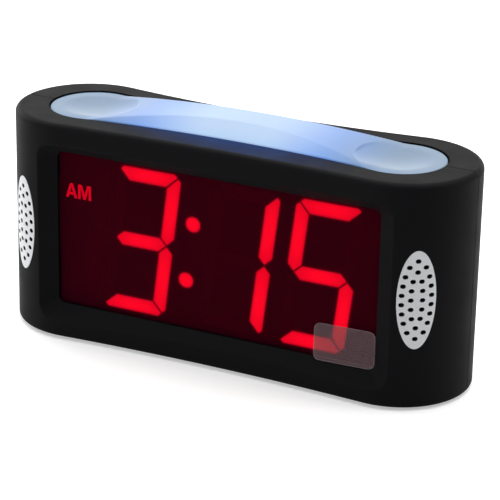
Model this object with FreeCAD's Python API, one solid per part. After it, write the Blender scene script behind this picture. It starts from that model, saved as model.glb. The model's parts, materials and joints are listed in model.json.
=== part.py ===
import FreeCAD, Part

import math
import os

from FreeCAD import Rotation, Vector

# Large-digit LED alarm clock with a night-light lens along its top.
# X runs along the clock, Y from the display (front, -Y) to the back, Z up from the table.
# All sizes are in millimetres.

# ---------------------------------------------------------------- casing
casing_height = 67.8
lobe_radius = 22.4        # radius of each round end, seen from above
lobe_offset = 51.6        # from the middle of the clock to the centre of a round end
front_waist = 20.6        # half depth at the middle, front side
rear_waist = 18.8         # half depth at the middle, rear side
wall = 2.2
rim_thickness = 2.4       # flat plate round the night light
base_thickness = 2.2
rim_round = 1.9           # fillet of the top outer edge
base_round = 1.0
seam_y = -0.4             # plane where the two shells meet
seam_groove = 0.25        # fine groove along the seam
lip_depth = 1.5           # how far the front shell's lip reaches into the rear shell
lip_thickness = 1.0
fixed_gap = 0.1           # between pieces that are assembled and don't move
tolerance = 1e-4          # two levels closer than this are the same
curve_tolerance = 2e-3    # a curve where two surfaces meet stays this close to both
past = 1.0                # how far a cutting tool runs past the face it opens
run_gap = 0.3             # between pieces that move past each other

foot_height = 0.8
foot_radius = 4.0
foot_recess = 0.4         # how deep a foot sits in the base
foot_x = 58.0
foot_y = 11.0

# ---------------------------------------------------------------- display
window_half = 52.3        # visible half width of the red window
window_bottom = 9.8       # above the casing's base
window_top = 58.4
window_y = -17.7          # front face of the red window
window_thickness = 1.6
window_overlap = 1.5      # part of the window held behind the frame
frame_margin = 4.5        # frame round the window opening
recess_half = 57.4        # outer edge of the bevelled recess
recess_bottom = 5.9
recess_top = 60.8
recess_corner = 4.5
window_corner = 2.2
window_land = 0.8         # straight edge round the window, before the bevel begins
recess_round = 0.6
reflector_depth = 5.0
reflector_margin = 0.6    # reflector beyond the visible window
board_thickness = 1.6
display_board_margin = 2.0
display_post_radius = 1.9
display_post_inset = 8.0  # from the window's upper and lower edges
display_led = (1.6, 1.0, 1.6)

digit_height = 45.72      # 1.8 inch figures
digit_width = 21.26
digit_bottom = 10.9       # above the casing's base
digit_slant = 0.12        # sideways lean per millimetre of height
bar_width = 4.22
bar_gap = 0.5             # dark gap between neighbouring bars
bar_corner = 2.4          # cut corner of the outer bars
bar_depth = 2.5
hour_x = -38.5            # left side of each figure, at its foot
minute_tens_x = -6.45
minute_units_x = 19.92
hour_tens_gap = 1.8       # between the hour's leading 1 and the next figure
colon_x = -11.65
colon_radius = 2.33
colon_low = 24.25
colon_high = 42.2
mark_left = -51.2         # AM mark: left edge, width and height of its light block
mark_width = 9.4
mark_bottom = 42.9
mark_height = 5.6
mark_pitch = 11.0         # from the AM mark down to the PM mark

# ---------------------------------------------------------------- grilles
grille_angle = 33.9       # round the end, from straight ahead
grille_z = 33.55          # centre above the casing's base
grille_half_width = 5.7
grille_half_height = 14.9
grille_thickness = 1.5
grille_proud = 0.15
grille_ledge = 1.4        # width of the ledge that the grille sits on
hole_width = 1.65
hole_height = 1.35
hole_pitch = 2.83         # from row to row
outer_ring = (4.36, 11.8) # half width and half height of the two rings of holes
inner_ring = (1.69, 8.49)

# ---------------------------------------------------------------- night light
lens_lobe = 13.6
lens_offset = 49.8
lens_waist = 9.7
lens_y = 0.3              # the lens sits a little behind the middle
lens_gap = 0.4
lens_wall = 1.8
pad_sink = 0.3            # finger pads lie this far under the rim
pad_radius = 12.9         # round step that ends a pad's dish where it runs into the crown
pad_dish_radius = 9.5     # edge of the dish on the flat plate
pad_dish_depth = 0.8
crown_rise = 3.05         # top of the crown above the rim
crown_half_span = 44.0    # where the arch of the crown meets the level of the rim
slope_run = 8.0           # depth of the front slope at the middle
skirt_depth = 5.9         # from the rim down to the lens's lower edge
flange_width = 1.0
flange_height = 1.2
pivot_drop = 4.6          # rocker pivot under the rim
pivot_radius = 1.5
pivot_gap = 0.06
pin_end = 4.4             # inner end of a pivot pin, from the lens's centre line
ear_thickness = 1.5
ear_half_width = 3.2
tray_drop = 9.7           # top of the tray under the rim
tray_thickness = 1.5
tray_half_length = 44.0
tray_half_width = 8.2
tray_arm_x = 22.0         # arms of the rear shell that carry the tray
tray_arm_height = 3.2
light_board_half_length = 42.0
light_board_half_width = 4.0
light_led_radius = 2.4
light_led_height = 3.6
light_led_pitch = 19.0
press_x = 39.0            # switches under the two finger pads
press_travel = 0.55

# ---------------------------------------------------------------- controls on the back
panel_half = 38.0
panel_bottom = 42.0
panel_top = 57.0
panel_y = 17.9            # floor of the recessed control panel
panel_corner = 2.0
control_z = 49.3
button_length = 8.0
button_height = 5.0
button_proud = 1.3
button_gap = 0.2
button_travel = 0.6
button_round = 0.5
button_pitch = 12.0
first_button_x = 29.0
flange_plate = 1.0
button_rim = 1.2          # flange beyond the button's cap
stem_radius = 1.5
switch_size = 6.0
switch_height = 3.5
plunger_radius = 1.75
set_plunger = 1.5         # height of a set switch's plunger above its body
lens_plunger = 0.75
slide_x = -18.5
slide_travel = 3.0
knob_length = 3.4
knob_height = 2.6
knob_proud = 1.5
knob_groove = 0.4         # width and depth of the knob's finger grooves
slide_body_length = 11.0
slide_body_height = 5.4
slide_body_depth = 5.0
dimmer_x = -30.5
dimmer_radius = 7.0
dimmer_thickness = 3.0
dimmer_proud = 1.3
dimmer_notches = 26
notch_radius = 0.35
dimmer_bore = 1.6
dimmer_fit = 0.05
dimmer_cap_radius = 2.5   # cap that keeps the wheel on its axle
dimmer_cap_height = 0.4
pot_half_width = 4.5
pot_height = 2.6

# ---------------------------------------------------------------- inside
main_board_y = 2.0        # front face
main_board_half = 40.0
main_board_bottom = 18.0
main_board_top = 52.5
board_edge = 0.5          # from a post's outline to the board's edge
post_radius = 2.3
pilot_radius = 1.1
pilot_depth = 7.0
chip_size = (18.0, 2.2, 7.0)
chip_z = 34.0
buzzer_radius = 6.0
buzzer_height = 5.5
buzzer_hole = 1.2
buzzer_base = 1.0         # closed floor of the buzzer's can
buzzer_x = 26.0
buzzer_z = 36.0
core_size = (20.0, 12.6, 26.0)
core_end_gap = 6.6        # from the casing's end wall to the transformer
core_y = 0.8
core_z = 17.5
coil_size = (13.0, 16.0)  # width across the middle limb, and height
coil_wall = 0.6           # the coil stands this far out of the core, front and back
ear_plate = 1.6
ear_reach = 4.2

boss_x = 62.6
boss_low = 8.2
boss_high = 54.2
front_boss = 3.2          # radius of the screw bosses in the two shells
rear_boss = 4.4
head_radius = 2.7
head_height = 1.8
screw_radius = 1.0
screw_pass = 1.5
screw_reach = 8.0         # thread length in the front boss
head_seat = 6.0           # screw head's seat, behind the seam
cross_width = 0.7         # cross slot in a casing screw's head
cross_share = 0.65        # its half length, per head radius
small_head = 1.7
small_head_height = 1.2
small_screw = 0.9
small_reach = 5.0

# ---------------------------------------------------------------- power and backup
bush_x = -29.0
bush_z = 29.0
bush_bore = 2.8
bush_neck = 4.3
bush_flange = 5.6
bush_flange_height = 1.3
bush_round = 0.5
cell_radius = 5.25
cell_length = 43.7
nub_radius = 1.9
nub_length = 0.8
contact_room = 2.5        # between a cell's end and the bay's wall
bay_front = 2.6
bay_depth = 11.6
bay_height = 11.2
bay_wall = 1.2
door_ledge = 1.5          # ledge that carries the door's edge
ledge_thickness = 1.0
door_grooves = 4
groove_pitch = 2.6
groove_width = 0.8
groove_depth = 0.4
contact_thickness = 0.5
contact_half = 4.25       # half width of a contact's square plate

# ---------------------------------------------------------------- heights that follow
base_z = foot_height
rim_z = base_z + casing_height
inner_floor = base_z + base_thickness
inner_roof = rim_z - rim_thickness
reflector_y = window_y + window_thickness + fixed_gap
display_board_y = reflector_y + reflector_depth
display_board_back = display_board_y + board_thickness
main_board_back = main_board_y + board_thickness
panel_back = panel_y - wall
control_level = base_z + control_z
lens_bottom = rim_z - skirt_depth
bay_half_length = cell_length + nub_length + contact_room
core_x = wall + core_end_gap + core_size[0] / 2 - lobe_offset - lobe_radius
pivot_z = rim_z - pivot_drop
tray_top = rim_z - tray_drop
wheel_y = panel_y + dimmer_proud - dimmer_radius
reach = lobe_offset + 2 * lobe_radius      # beyond every solid, for cutting tools


# ================================================================ helpers
def box(x0, x1, y0, y1, z0, z1):
    """Block between two corners."""
    return Part.makeBox(x1 - x0, y1 - y0, z1 - z0, Vector(x0, y0, z0))


def centred_box(size, x, y, z):
    """Block of the given size, centred on x and z, whose front face is at y."""
    return box(x - size[0] / 2, x + size[0] / 2, y, y + size[1], z - size[2] / 2, z + size[2] / 2)


def rod_y(radius, x, z, y0, y1):
    """Cylinder along Y."""
    return Part.makeCylinder(radius, y1 - y0, Vector(x, y0, z), Vector(0, 1, 0))


def rod_z(radius, x, y, z0, z1):
    """Cylinder along Z."""
    return Part.makeCylinder(radius, z1 - z0, Vector(x, y, z0))


def joined(shapes):
    """All shapes fused into one solid."""
    body = shapes[0]
    if len(shapes) > 1:
        body = body.fuse(shapes[1:])
    return body.removeSplitter()


def group(shapes):
    """Separate solids that share one node."""
    solids = [solid for shape in shapes for solid in shape.Solids]
    return Part.makeCompound(solids)


def waist_arc(lobe, offset, half):
    """Radius of the arc that joins two round ends and comes within half of the middle line."""
    return (offset**2 + half**2 - lobe**2) / (2 * (lobe - half))


def waist_tangent(lobe, offset, half):
    """Point where the waist's arc leaves the round end, for an end centred at (offset, 0)."""
    arc = waist_arc(lobe, offset, half)
    share = lobe / (lobe + arc)
    return offset * (1 - share), (half + arc) * share


def waisted_outline(lobe, offset, front, rear, inset, y, z):
    """Closed outline of two round ends joined by tangent arcs that pinch in at the middle."""
    fx, fy = waist_tangent(lobe - inset, offset, front - inset)
    rx, ry = waist_tangent(lobe - inset, offset, rear - inset)
    end = offset + lobe - inset

    def at(px, py):
        return Vector(px, y + py, z)

    arcs = [
        Part.Arc(at(fx, -fy), at(end, 0), at(rx, ry)),
        Part.Arc(at(rx, ry), at(0, rear - inset), at(-rx, ry)),
        Part.Arc(at(-rx, ry), at(-end, 0), at(-fx, -fy)),
        Part.Arc(at(-fx, -fy), at(0, inset - front), at(fx, -fy)),
    ]
    return Part.Wire([arc.toShape() for arc in arcs])


def casing_prism(inset, z0, z1):
    """Upright solid with the casing's outline, drawn in by inset."""
    wire = waisted_outline(lobe_radius, lobe_offset, front_waist, rear_waist, inset, 0, z0)
    return Part.Face(wire).extrude(Vector(0, 0, z1 - z0))


def lens_prism(inset, z0, z1):
    """Upright solid with the lens's outline, drawn in by inset."""
    wire = waisted_outline(lens_lobe, lens_offset, lens_waist, lens_waist, inset, lens_y, z0)
    return Part.Face(wire).extrude(Vector(0, 0, z1 - z0))


def edges_at(shape, axis, level):
    """Edges that lie in the plane where the given axis (X, Y or Z) has this level."""
    found = []
    for edge in shape.Edges:
        low = getattr(edge.BoundBox, axis + "Min")
        high = getattr(edge.BoundBox, axis + "Max")
        if max(abs(low - level), abs(high - level)) < tolerance:
            found.append(edge)
    return found


def pill_y(length, height, x, z, y0, y1):
    """Bar along Y with a round-ended section, long side along X."""
    radius = height / 2
    half = length / 2 - radius
    middle = box(x - half, x + half, y0, y1, z - radius, z + radius)
    ends = [rod_y(radius, x + side * half, z, y0, y1) for side in (-1, 1)]
    return joined([middle] + ends)


def rounded_rectangle(half, z0, z1, corner, y, sag=0.0):
    """Rectangle in the plane at y with round corners; sag bows its long sides outward."""
    x = half - corner
    k = corner * (1 - math.sqrt(0.5))

    def at(px, pz):
        return Vector(px, y, pz)

    def long_side(start, middle, end):
        return Part.Arc(start, middle, end) if sag else Part.LineSegment(start, end)

    pieces = [
        Part.LineSegment(at(half, z0 + corner), at(half, z1 - corner)),
        Part.Arc(at(half, z1 - corner), at(half - k, z1 - k), at(x, z1)),
        long_side(at(x, z1), at(0, z1 + sag), at(-x, z1)),
        Part.Arc(at(-x, z1), at(-half + k, z1 - k), at(-half, z1 - corner)),
        Part.LineSegment(at(-half, z1 - corner), at(-half, z0 + corner)),
        Part.Arc(at(-half, z0 + corner), at(-half + k, z0 + k), at(-x, z0)),
        long_side(at(-x, z0), at(0, z0 - sag), at(x, z0)),
        Part.Arc(at(x, z0), at(half - k, z0 + k), at(half, z0 + corner)),
    ]
    return Part.Wire([piece.toShape() for piece in pieces])


def pan_screw(head, head_height, shank, length, seat, direction):
    """Screw whose head lies behind its seat; direction points from the head to the tip."""
    body = Part.makeCylinder(head, head_height, seat, Vector(direction).multiply(-1))
    return body.fuse(Part.makeCylinder(shank, length, seat, direction))


def small_screw_at(seat, direction):
    """Self-tapping screw for the boards, the tray and the transformer."""
    return pan_screw(small_head, small_head_height, small_screw, small_reach, seat, direction)


# ================================================================ casing shells
def face_depth(x, half):
    """How far the casing's surface stands from the plane y = 0 at x, on the side with this waist."""
    tangent, _ = waist_tangent(lobe_radius, lobe_offset, half)
    if abs(x) > tangent:
        return math.sqrt(lobe_radius**2 - (abs(x) - lobe_offset)**2)
    arc = waist_arc(lobe_radius, lobe_offset, half)
    return half + arc - math.sqrt(arc**2 - x**2)


def recess_funnel():
    """Tools for the bevelled recess: from the window's edge out past the front surface.

    The far outline is stretched so that the bevels meet the curved front along straight lines.
    """
    near = window_y - window_land
    far = -lobe_radius - frame_margin
    depth = near - far
    side = depth / (near + face_depth(recess_half, front_waist))
    middle = depth / (near + front_waist)
    low = window_bottom - recess_bottom
    high = recess_top - window_top
    half = window_half + (recess_half - window_half) * side
    corner = window_corner + (recess_corner - window_corner) * side
    near_wire = rounded_rectangle(window_half, base_z + window_bottom, base_z + window_top,
                                  window_corner, near)
    far_wire = rounded_rectangle(half, base_z + window_bottom - low * side,
                                 base_z + window_top + high * side, corner, far,
                                 sag=(low + high) / 2 * (middle - side))
    land = Part.Face(near_wire).extrude(Vector(0, window_land + past, 0))
    return [Part.makeLoft([near_wire, far_wire], True, True), land]


def recess_mouth(shell):
    """Edges where the bevels of the recess meet the casing's curved front."""
    half = recess_half + wall
    low = base_z + recess_bottom - wall
    high = base_z + recess_top + wall
    found = []
    for edge in shell.Edges:
        points = edge.discretize(5)
        near = all(abs(p.x) < half and low < p.z < high for p in points)
        if near and all(abs(p.y + face_depth(p.x, front_waist)) < curve_tolerance for p in points):
            found.append(edge)
    return found


def window_block(extra, y0, y1):
    """Block behind the front wall with the window's outline plus extra all round."""
    half = window_half + extra
    return box(-half, half, y0, y1, base_z + window_bottom - extra, base_z + window_top + extra)


def radial_oval(side, half_width, half_height, z, inner, outer):
    """Oval bar that points outward through a round end at the grille's angle."""
    wire = Part.Wire(Part.Ellipse(Vector(0, 0, half_height), Vector(half_width, 0, 0),
                                  Vector(0, 0, 0)).toShape())
    bar = Part.Face(wire).extrude(Vector(0, inner - outer, 0))
    bar.translate(Vector(0, -inner, z))
    bar.rotate(Vector(0, 0, 0), Vector(0, 0, 1), side * grille_angle)
    bar.translate(Vector(side * lobe_offset, 0, 0))
    return bar


def ring_wall(side, inner, outer, z0, z1):
    """Tube round the axis of one round end."""
    x = side * lobe_offset
    return rod_z(outer, x, 0, z0, z1).cut(rod_z(inner, x, 0, z0, z1))


def grille_seat(side):
    """Tools that sink a grille's seat and open the wall behind it."""
    z = base_z + grille_z
    floor = lobe_radius + grille_proud - grille_thickness
    seat = radial_oval(side, grille_half_width + fixed_gap, grille_half_height + fixed_gap, z,
                       lobe_radius / 2, reach)
    seat = seat.cut(rod_z(floor, side * lobe_offset, 0, 0, rim_z))
    opening = radial_oval(side, grille_half_width - grille_ledge,
                          grille_half_height - grille_ledge, z, lobe_radius / 2, reach)
    return [seat, opening]


def seam_lip():
    """Lip of the front shell that centres the rear shell."""
    rear_slab = box(-reach, reach, seam_y - lip_depth, seam_y + lip_depth, 0, rim_z)
    front_slab = box(-reach, reach, seam_y - lip_depth, seam_y, 0, rim_z)
    outside = casing_prism(wall + fixed_gap, inner_floor + fixed_gap, inner_roof - fixed_gap)
    root = casing_prism(wall - lip_thickness / 2, inner_floor - lip_thickness / 2,
                        inner_roof + lip_thickness / 2)
    hollow = casing_prism(wall + fixed_gap + lip_thickness, inner_floor + fixed_gap + lip_thickness,
                          inner_roof - fixed_gap - lip_thickness)
    lip = outside.common(rear_slab).fuse(root.common(front_slab)).cut(hollow)
    keep_out = lens_prism(-lens_gap - flange_width - run_gap, lens_bottom - 2 * run_gap, rim_z)
    door_end = bay_half_length + door_ledge + bay_wall
    door_way = box(-door_end, door_end, seam_y - lip_depth, reach, 0, inner_floor + bay_height + bay_wall)
    return lip.cut([keep_out, door_way])


def boss_places():
    """The four screw positions, as x and z."""
    return [(side * boss_x, base_z + level) for side in (-1, 1) for level in (boss_low, boss_high)]


def foot_places():
    """The four foot positions, as x and y."""
    return [(sx * foot_x, sy * foot_y) for sx in (-1, 1) for sy in (-1, 1)]


def casing_body():
    """Both shells as one hollow body: outer form, cavity, lens opening and foot recesses."""
    body = casing_prism(0, base_z, rim_z)
    body = body.makeFillet(rim_round, edges_at(body, "Z", rim_z))
    body = body.makeFillet(base_round, edges_at(body, "Z", base_z))
    tools = [casing_prism(wall, inner_floor, inner_roof), lens_prism(-lens_gap, inner_roof - wall, reach)]
    tools += [rod_z(foot_radius + fixed_gap, x, y, 0, base_z + foot_recess) for x, y in foot_places()]
    return body.cut(tools)


def make_front_shell(casing):
    shell = casing.common(box(-reach, reach, -reach, seam_y, 0, reach))
    frame = window_block(frame_margin, -lobe_radius, reflector_y - fixed_gap)
    adds = [frame.common(casing_prism(wall / 2, 0, rim_z)), seam_lip()]
    for x, z in boss_places():
        adds.append(rod_y(front_boss, x, z, -lobe_radius, seam_y).common(casing_prism(wall / 2, 0, rim_z)))
    for x, z in display_posts():
        adds.append(rod_y(display_post_radius, x, z, window_y, display_board_y))
    shell = joined([shell] + adds)
    tools = recess_funnel() + [window_block(window_overlap + fixed_gap, window_y, display_board_y)]
    tools += grille_seat(-1) + grille_seat(1)
    for x, z in boss_places():
        tools.append(rod_y(pilot_radius, x, z, seam_y - screw_reach - past, seam_y + past))
    for x, z in display_posts():
        tools.append(rod_y(pilot_radius, x, z, display_board_y - small_reach, display_board_y))
    shell = shell.cut(tools)
    return shell.makeFillet(recess_round, recess_mouth(shell))


def door_openings(gap):
    """Lower and upper part of the battery door's opening in the base, drawn in by gap."""
    lower = bay_half_length - gap
    upper = bay_half_length + door_ledge - gap
    lower_box = box(-lower, lower, bay_front + gap, reach, 0, base_z + ledge_thickness + gap)
    upper_box = box(-upper, upper, bay_front - door_ledge + gap, reach,
                    base_z + ledge_thickness + gap, inner_floor - gap)
    return [lower_box, upper_box]


def battery_bay():
    """Walls and roof of the battery bay, standing over the door."""
    half = bay_half_length + bay_wall
    back = bay_front + bay_depth
    roof = inner_floor + bay_height
    outer = box(-half, half, bay_front - bay_wall, back + bay_wall, inner_floor, roof + bay_wall)
    return outer.cut(box(-bay_half_length, bay_half_length, bay_front, back, inner_floor, roof))


def bay_feet():
    """Side walls of the bay carried down to the base beyond the door's edge."""
    outer = bay_half_length + door_ledge + bay_wall
    feet = []
    for side in (-1, 1):
        x0, x1 = sorted((side * bay_half_length, side * outer))
        feet.append(box(x0, x1, bay_front - bay_wall, bay_front + bay_depth + bay_wall, inner_floor,
                        inner_floor + bay_wall + run_gap))
        x0, x1 = sorted((side * (outer - bay_wall), side * outer))
        feet.append(box(x0, x1, bay_front - bay_wall, bay_front + bay_depth + bay_wall,
                        base_z + base_thickness / 2, inner_floor + bay_wall))
    return feet


def control_panel_pad():
    """Flat pad behind the recessed control panel, on the inside of the rear wall."""
    z0 = base_z + panel_bottom - wall
    z1 = base_z + panel_top + wall
    pad = box(-panel_half - wall, panel_half + wall, panel_back, reach, z0, z1)
    return pad.common(casing_prism(wall / 2, 0, rim_z))


def control_openings():
    """Recess of the control panel and the holes for the controls."""
    z0 = base_z + panel_bottom
    z1 = base_z + panel_top
    recess = box(-panel_half, panel_half, panel_y, reach, z0, z1)
    corners = [e for e in recess.Edges if e.BoundBox.YLength > wall]
    tools = [recess.makeFillet(panel_corner, corners)]
    start = panel_back - past
    for index in range(len(button_names)):
        tools.append(pill_y(button_length + 2 * button_gap, button_height + 2 * button_gap,
                            button_x(index), control_level, start, reach))
    half = knob_length / 2 + button_gap
    tools.append(box(slide_x - half, slide_x + half + slide_travel, start, reach,
                     control_level - knob_height / 2 - button_gap,
                     control_level + knob_height / 2 + button_gap))
    chord = math.sqrt(dimmer_radius**2 - (panel_back - wheel_y)**2) + run_gap
    slot = dimmer_thickness / 2 + run_gap
    tools.append(box(dimmer_x - chord, dimmer_x + chord, start, reach,
                     control_level - slot, control_level + slot))
    return tools


def rear_posts():
    """Posts on the rear wall: four for the main board, two for the transformer's ears."""
    limit = casing_prism(wall / 2, 0, rim_z)
    posts = [rod_y(post_radius, x, z, main_board_back, reach) for x, z in board_posts()]
    posts += [rod_y(post_radius, x, z, core_y + core_size[1], reach) for x, z in core_posts()]
    return [post.common(limit) for post in posts]


def tray_arms():
    """Two arms from the rear wall that carry the night-light tray."""
    z1 = tray_top - tray_thickness
    arms = []
    for x in tray_arm_places():
        arm = box(x - post_radius, x + post_radius, lens_y - tray_half_width + wall, reach,
                  z1 - tray_arm_height, z1)
        arms.append(arm.common(casing_prism(wall / 2, 0, rim_z)))
    return arms


def make_rear_shell(casing):
    shell = casing.common(box(-reach, reach, seam_y, reach, 0, reach))
    inside = casing_prism(seam_groove, base_z + seam_groove, rim_z - seam_groove)
    groove = box(-reach, reach, seam_y, seam_y + seam_groove, 0, reach).cut(inside)
    adds = [battery_bay(), control_panel_pad()] + bay_feet() + rear_posts() + tray_arms()
    for x, z in boss_places():
        adds.append(rod_y(rear_boss, x, z, seam_y, reach).common(casing_prism(wall / 2, 0, rim_z)))
    shell = joined([shell] + adds)
    tools = [groove] + control_openings() + door_openings(0)
    seat = seam_y + head_seat
    for x, z in boss_places():
        tools.append(rod_y(screw_pass, x, z, seam_y - past, reach))
        tools.append(rod_y(head_radius + run_gap, x, z, seat, reach))
    tools += [rod_y(pilot_radius, x, z, main_board_back, main_board_back + pilot_depth)
              for x, z in board_posts()]
    tools += [rod_y(pilot_radius, x, z, core_y, core_y + core_size[1] + pilot_depth / 2)
              for x, z in core_posts()]
    tools += [rod_z(pilot_radius, x, y, tray_top - small_reach, tray_top) for x, y in tray_screw_places()]
    tools.append(rod_y(bush_neck + fixed_gap, bush_x, base_z + bush_z, main_board_back, reach))
    return shell.cut(tools)


# ================================================================ display
def bar_outline(points, x0):
    """Flat face of one bar: cell points leaned over by the slant, then drawn in by half the gap."""
    z0 = base_z + digit_bottom
    corners = [Vector(x0 + px + digit_slant * pz, 0, z0 + pz) for px, pz in points]
    face = Part.Face(Part.makePolygon(corners + corners[:1]))
    return face.makeOffset2D(-bar_gap / 2, 2)


def bar_points(name):
    """Corner points of a bar in an upright figure, measured from the figure's lower left corner.

    The names are the usual ones: a is the top bar, b to f follow clockwise and g is the middle.
    Neighbouring bars share mitred edges here; the gap between them is cut afterwards.
    """
    right = digit_width + bar_gap / 2
    top = digit_height + bar_gap / 2
    middle = digit_height / 2
    half = (bar_width + bar_gap) / 2
    inner = right - 2 * half
    cut = bar_corner
    if name in "ad":
        left = -bar_gap / 2
        points = [(left + cut, top), (right - cut, top), (right - cut / 2, top - cut / 2),
                  (inner, top - 2 * half), (left + 2 * half, top - 2 * half), (left + cut / 2, top - cut / 2)]
    elif name == "g":
        left = -bar_gap / 2
        points = [(left + half, middle), (left + 2 * half, middle + half), (inner, middle + half),
                  (right - half, middle), (inner, middle - half), (left + 2 * half, middle - half)]
    else:
        points = [(right, top - cut), (right, middle + half), (right - half, middle), (inner, middle + half),
                  (inner, top - 2 * half), (right - cut / 2, top - cut / 2)]
    if name in "ef":
        points = [(digit_width - px, pz) for px, pz in points]
    if name in "cde":
        points = [(px, digit_height - pz) for px, pz in points]
    return points


def bars(names, x0, y0, y1, grow=0.0):
    """Solid bars of one figure between two depths; grow makes the tool for their cavities."""
    solids = []
    for name in names:
        face = bar_outline(bar_points(name), x0)
        if grow:
            face = face.makeOffset2D(grow, 2)
        solid = face.extrude(Vector(0, y1 - y0, 0))
        solid.translate(Vector(0, y0, 0))
        solids.append(solid)
    return solids


def colon_dots(radius, y0, y1):
    """The two round dots between hour and minutes."""
    dots = []
    for level in (colon_low, colon_high):
        x = colon_x + digit_slant * (level - digit_bottom)
        dots.append(rod_y(radius, x, base_z + level, y0, y1))
    return dots


def mark_block(index, grow, y0, y1):
    """Light block behind the AM mark (index 0) or the PM mark (index 1)."""
    x = mark_left - index * mark_pitch * digit_slant
    z = base_z + mark_bottom - index * mark_pitch
    return box(x - grow, x + mark_width + grow, y0, y1, z - grow, z + mark_height + grow)


all_bars = "abcdefg"
hour_tens_x = hour_x - hour_tens_gap - digit_width
figures = {
    "hour_bars": ("abcdg", hour_x),
    "minute_tens_bars": ("bc", minute_tens_x),
    "minute_units_bars": ("acdfg", minute_units_x),
}


def unlit_figures():
    """Names and places of the bars that stay dark at this time of day."""
    rest = [("bc", hour_tens_x)]
    for lit, x in figures.values():
        rest.append(("".join(name for name in all_bars if name not in lit), x))
    return rest


def led_places():
    """Middle of every bar, dot and mark, as x and z, where a chip sits on the display board."""
    places = []
    everything = unlit_figures() + list(figures.values())
    for names, x0 in everything:
        for name in names:
            centre = bar_outline(bar_points(name), x0).CenterOfMass
            places.append((centre.x, centre.z))
    for dot in colon_dots(colon_radius, 0, 1):
        places.append((dot.CenterOfMass.x, dot.CenterOfMass.z))
    for index in (0, 1):
        mark = mark_block(index, 0, 0, 1)
        places.append((mark.CenterOfMass.x, mark.CenterOfMass.z))
    return places


def make_reflector():
    y0 = reflector_y
    y1 = display_board_y
    block = window_block(reflector_margin, y0, y1)
    tools = []
    for names, x0 in unlit_figures() + list(figures.values()):
        tools += bars(names, x0, y0, y1, fixed_gap / 2)
    tools += colon_dots(colon_radius + fixed_gap / 2, y0, y1)
    tools += [mark_block(index, fixed_gap / 2, y0, y1) for index in (0, 1)]
    return block.cut(tools)


def display_posts():
    """Posts beside the reflector that carry the display board."""
    x = window_half + window_overlap + fixed_gap + display_post_radius
    levels = (base_z + window_bottom + display_post_inset, base_z + window_top - display_post_inset)
    return [(side * x, z) for side in (-1, 1) for z in levels]


def make_display_board():
    half = display_posts()[-1][0] + display_post_radius + board_edge
    board = box(-half, half, display_board_y, display_board_back,
                base_z + window_bottom - display_board_margin, base_z + window_top + display_board_margin)
    return board.cut([rod_y(pilot_radius, x, z, display_board_y, display_board_back)
                      for x, z in display_posts()])


def make_display_leds():
    y = display_board_y - display_led[1]
    return group([centred_box(display_led, x, y, z) for x, z in led_places()])


def make_display_screws():
    return group([small_screw_at(Vector(x, display_board_back, z), Vector(0, -1, 0))
                  for x, z in display_posts()])


# ================================================================ grilles
def ring_of_holes(half_width, half_height, first_row):
    """Hole centres on one oval: pairs in even rows, with one hole at the top and the bottom."""
    centres = [(0, half_height), (0, -half_height)]
    level = first_row
    while level < half_height - hole_pitch / 2:
        x = half_width * math.sqrt(1 - (level / half_height)**2)
        for sign in ((1, -1) if level else (1,)):
            centres += [(x, sign * level), (-x, sign * level)]
        level += hole_pitch
    return centres


def make_grille(side):
    """Oval cover bent to the round end, pierced by two rings of holes."""
    z = base_z + grille_z
    outer = lobe_radius + grille_proud
    inner = outer - grille_thickness
    plate = radial_oval(side, grille_half_width, grille_half_height, z, lobe_radius / 2, reach)
    plate = plate.common(ring_wall(side, inner, outer, 0, rim_z))
    tools = []
    centres = ring_of_holes(*outer_ring, hole_pitch / 2) + ring_of_holes(*inner_ring, 0)
    for across, up in centres:
        hole = pill_y(hole_width, hole_height, 0, z + up, -outer - past, past - inner)
        hole.rotate(Vector(0, 0, 0), Vector(0, 0, 1), side * grille_angle + math.degrees(across / outer))
        hole.translate(Vector(side * lobe_offset, 0, 0))
        tools.append(hole)
    return plate.cut(tools)


# ================================================================ night light
def front_slope(drop):
    """Cutter for the slope in front of the crown, lowered by drop.

    It is a cone round the axis of the lens's front waist, so the slope keeps one steepness and
    its foot follows the front edge.
    """
    slope = slope_run / crown_rise
    arc = waist_arc(lens_lobe, lens_offset, lens_waist)
    start = rim_z - drop - past
    foot = arc + drop * math.hypot(1, slope) + (start - rim_z) * slope
    rise = 2 * crown_rise + drop + past
    axis = Vector(0, lens_y - lens_waist - arc, start)
    return Part.makeCone(foot, foot + rise * slope, rise, axis)


def lens_form(inset, drop, z0):
    """The lens's outer form, drawn in by inset and lowered by drop, down to z0.

    A flat plate carries both finger pads. Between them stands the crown: an arch along the
    clock, less the front slope.
    """
    level = rim_z - pad_sink - drop
    arch = (crown_half_span**2 + crown_rise**2) / (2 * crown_rise)
    crown = Part.makeCylinder(arch - drop, reach, Vector(0, -reach / 2, rim_z + crown_rise - arch),
                              Vector(0, 1, 0))
    crown = crown.common(lens_prism(inset, level, rim_z + 2 * crown_rise))
    return joined([lens_prism(inset, z0, level), crown.cut(front_slope(drop))])


def pad_dish(side):
    """Spherical hollow of one finger pad, which ends in a round step towards the crown."""
    low = rim_z - pad_sink - pad_dish_depth
    dish = (pad_dish_radius**2 + pad_dish_depth**2) / (2 * pad_dish_depth)
    ball = Part.makeSphere(dish, Vector(side * lens_offset, lens_y, low + dish))
    return ball.common(rod_z(pad_radius, side * lens_offset, lens_y, low - past, rim_z + 2 * crown_rise))


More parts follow.
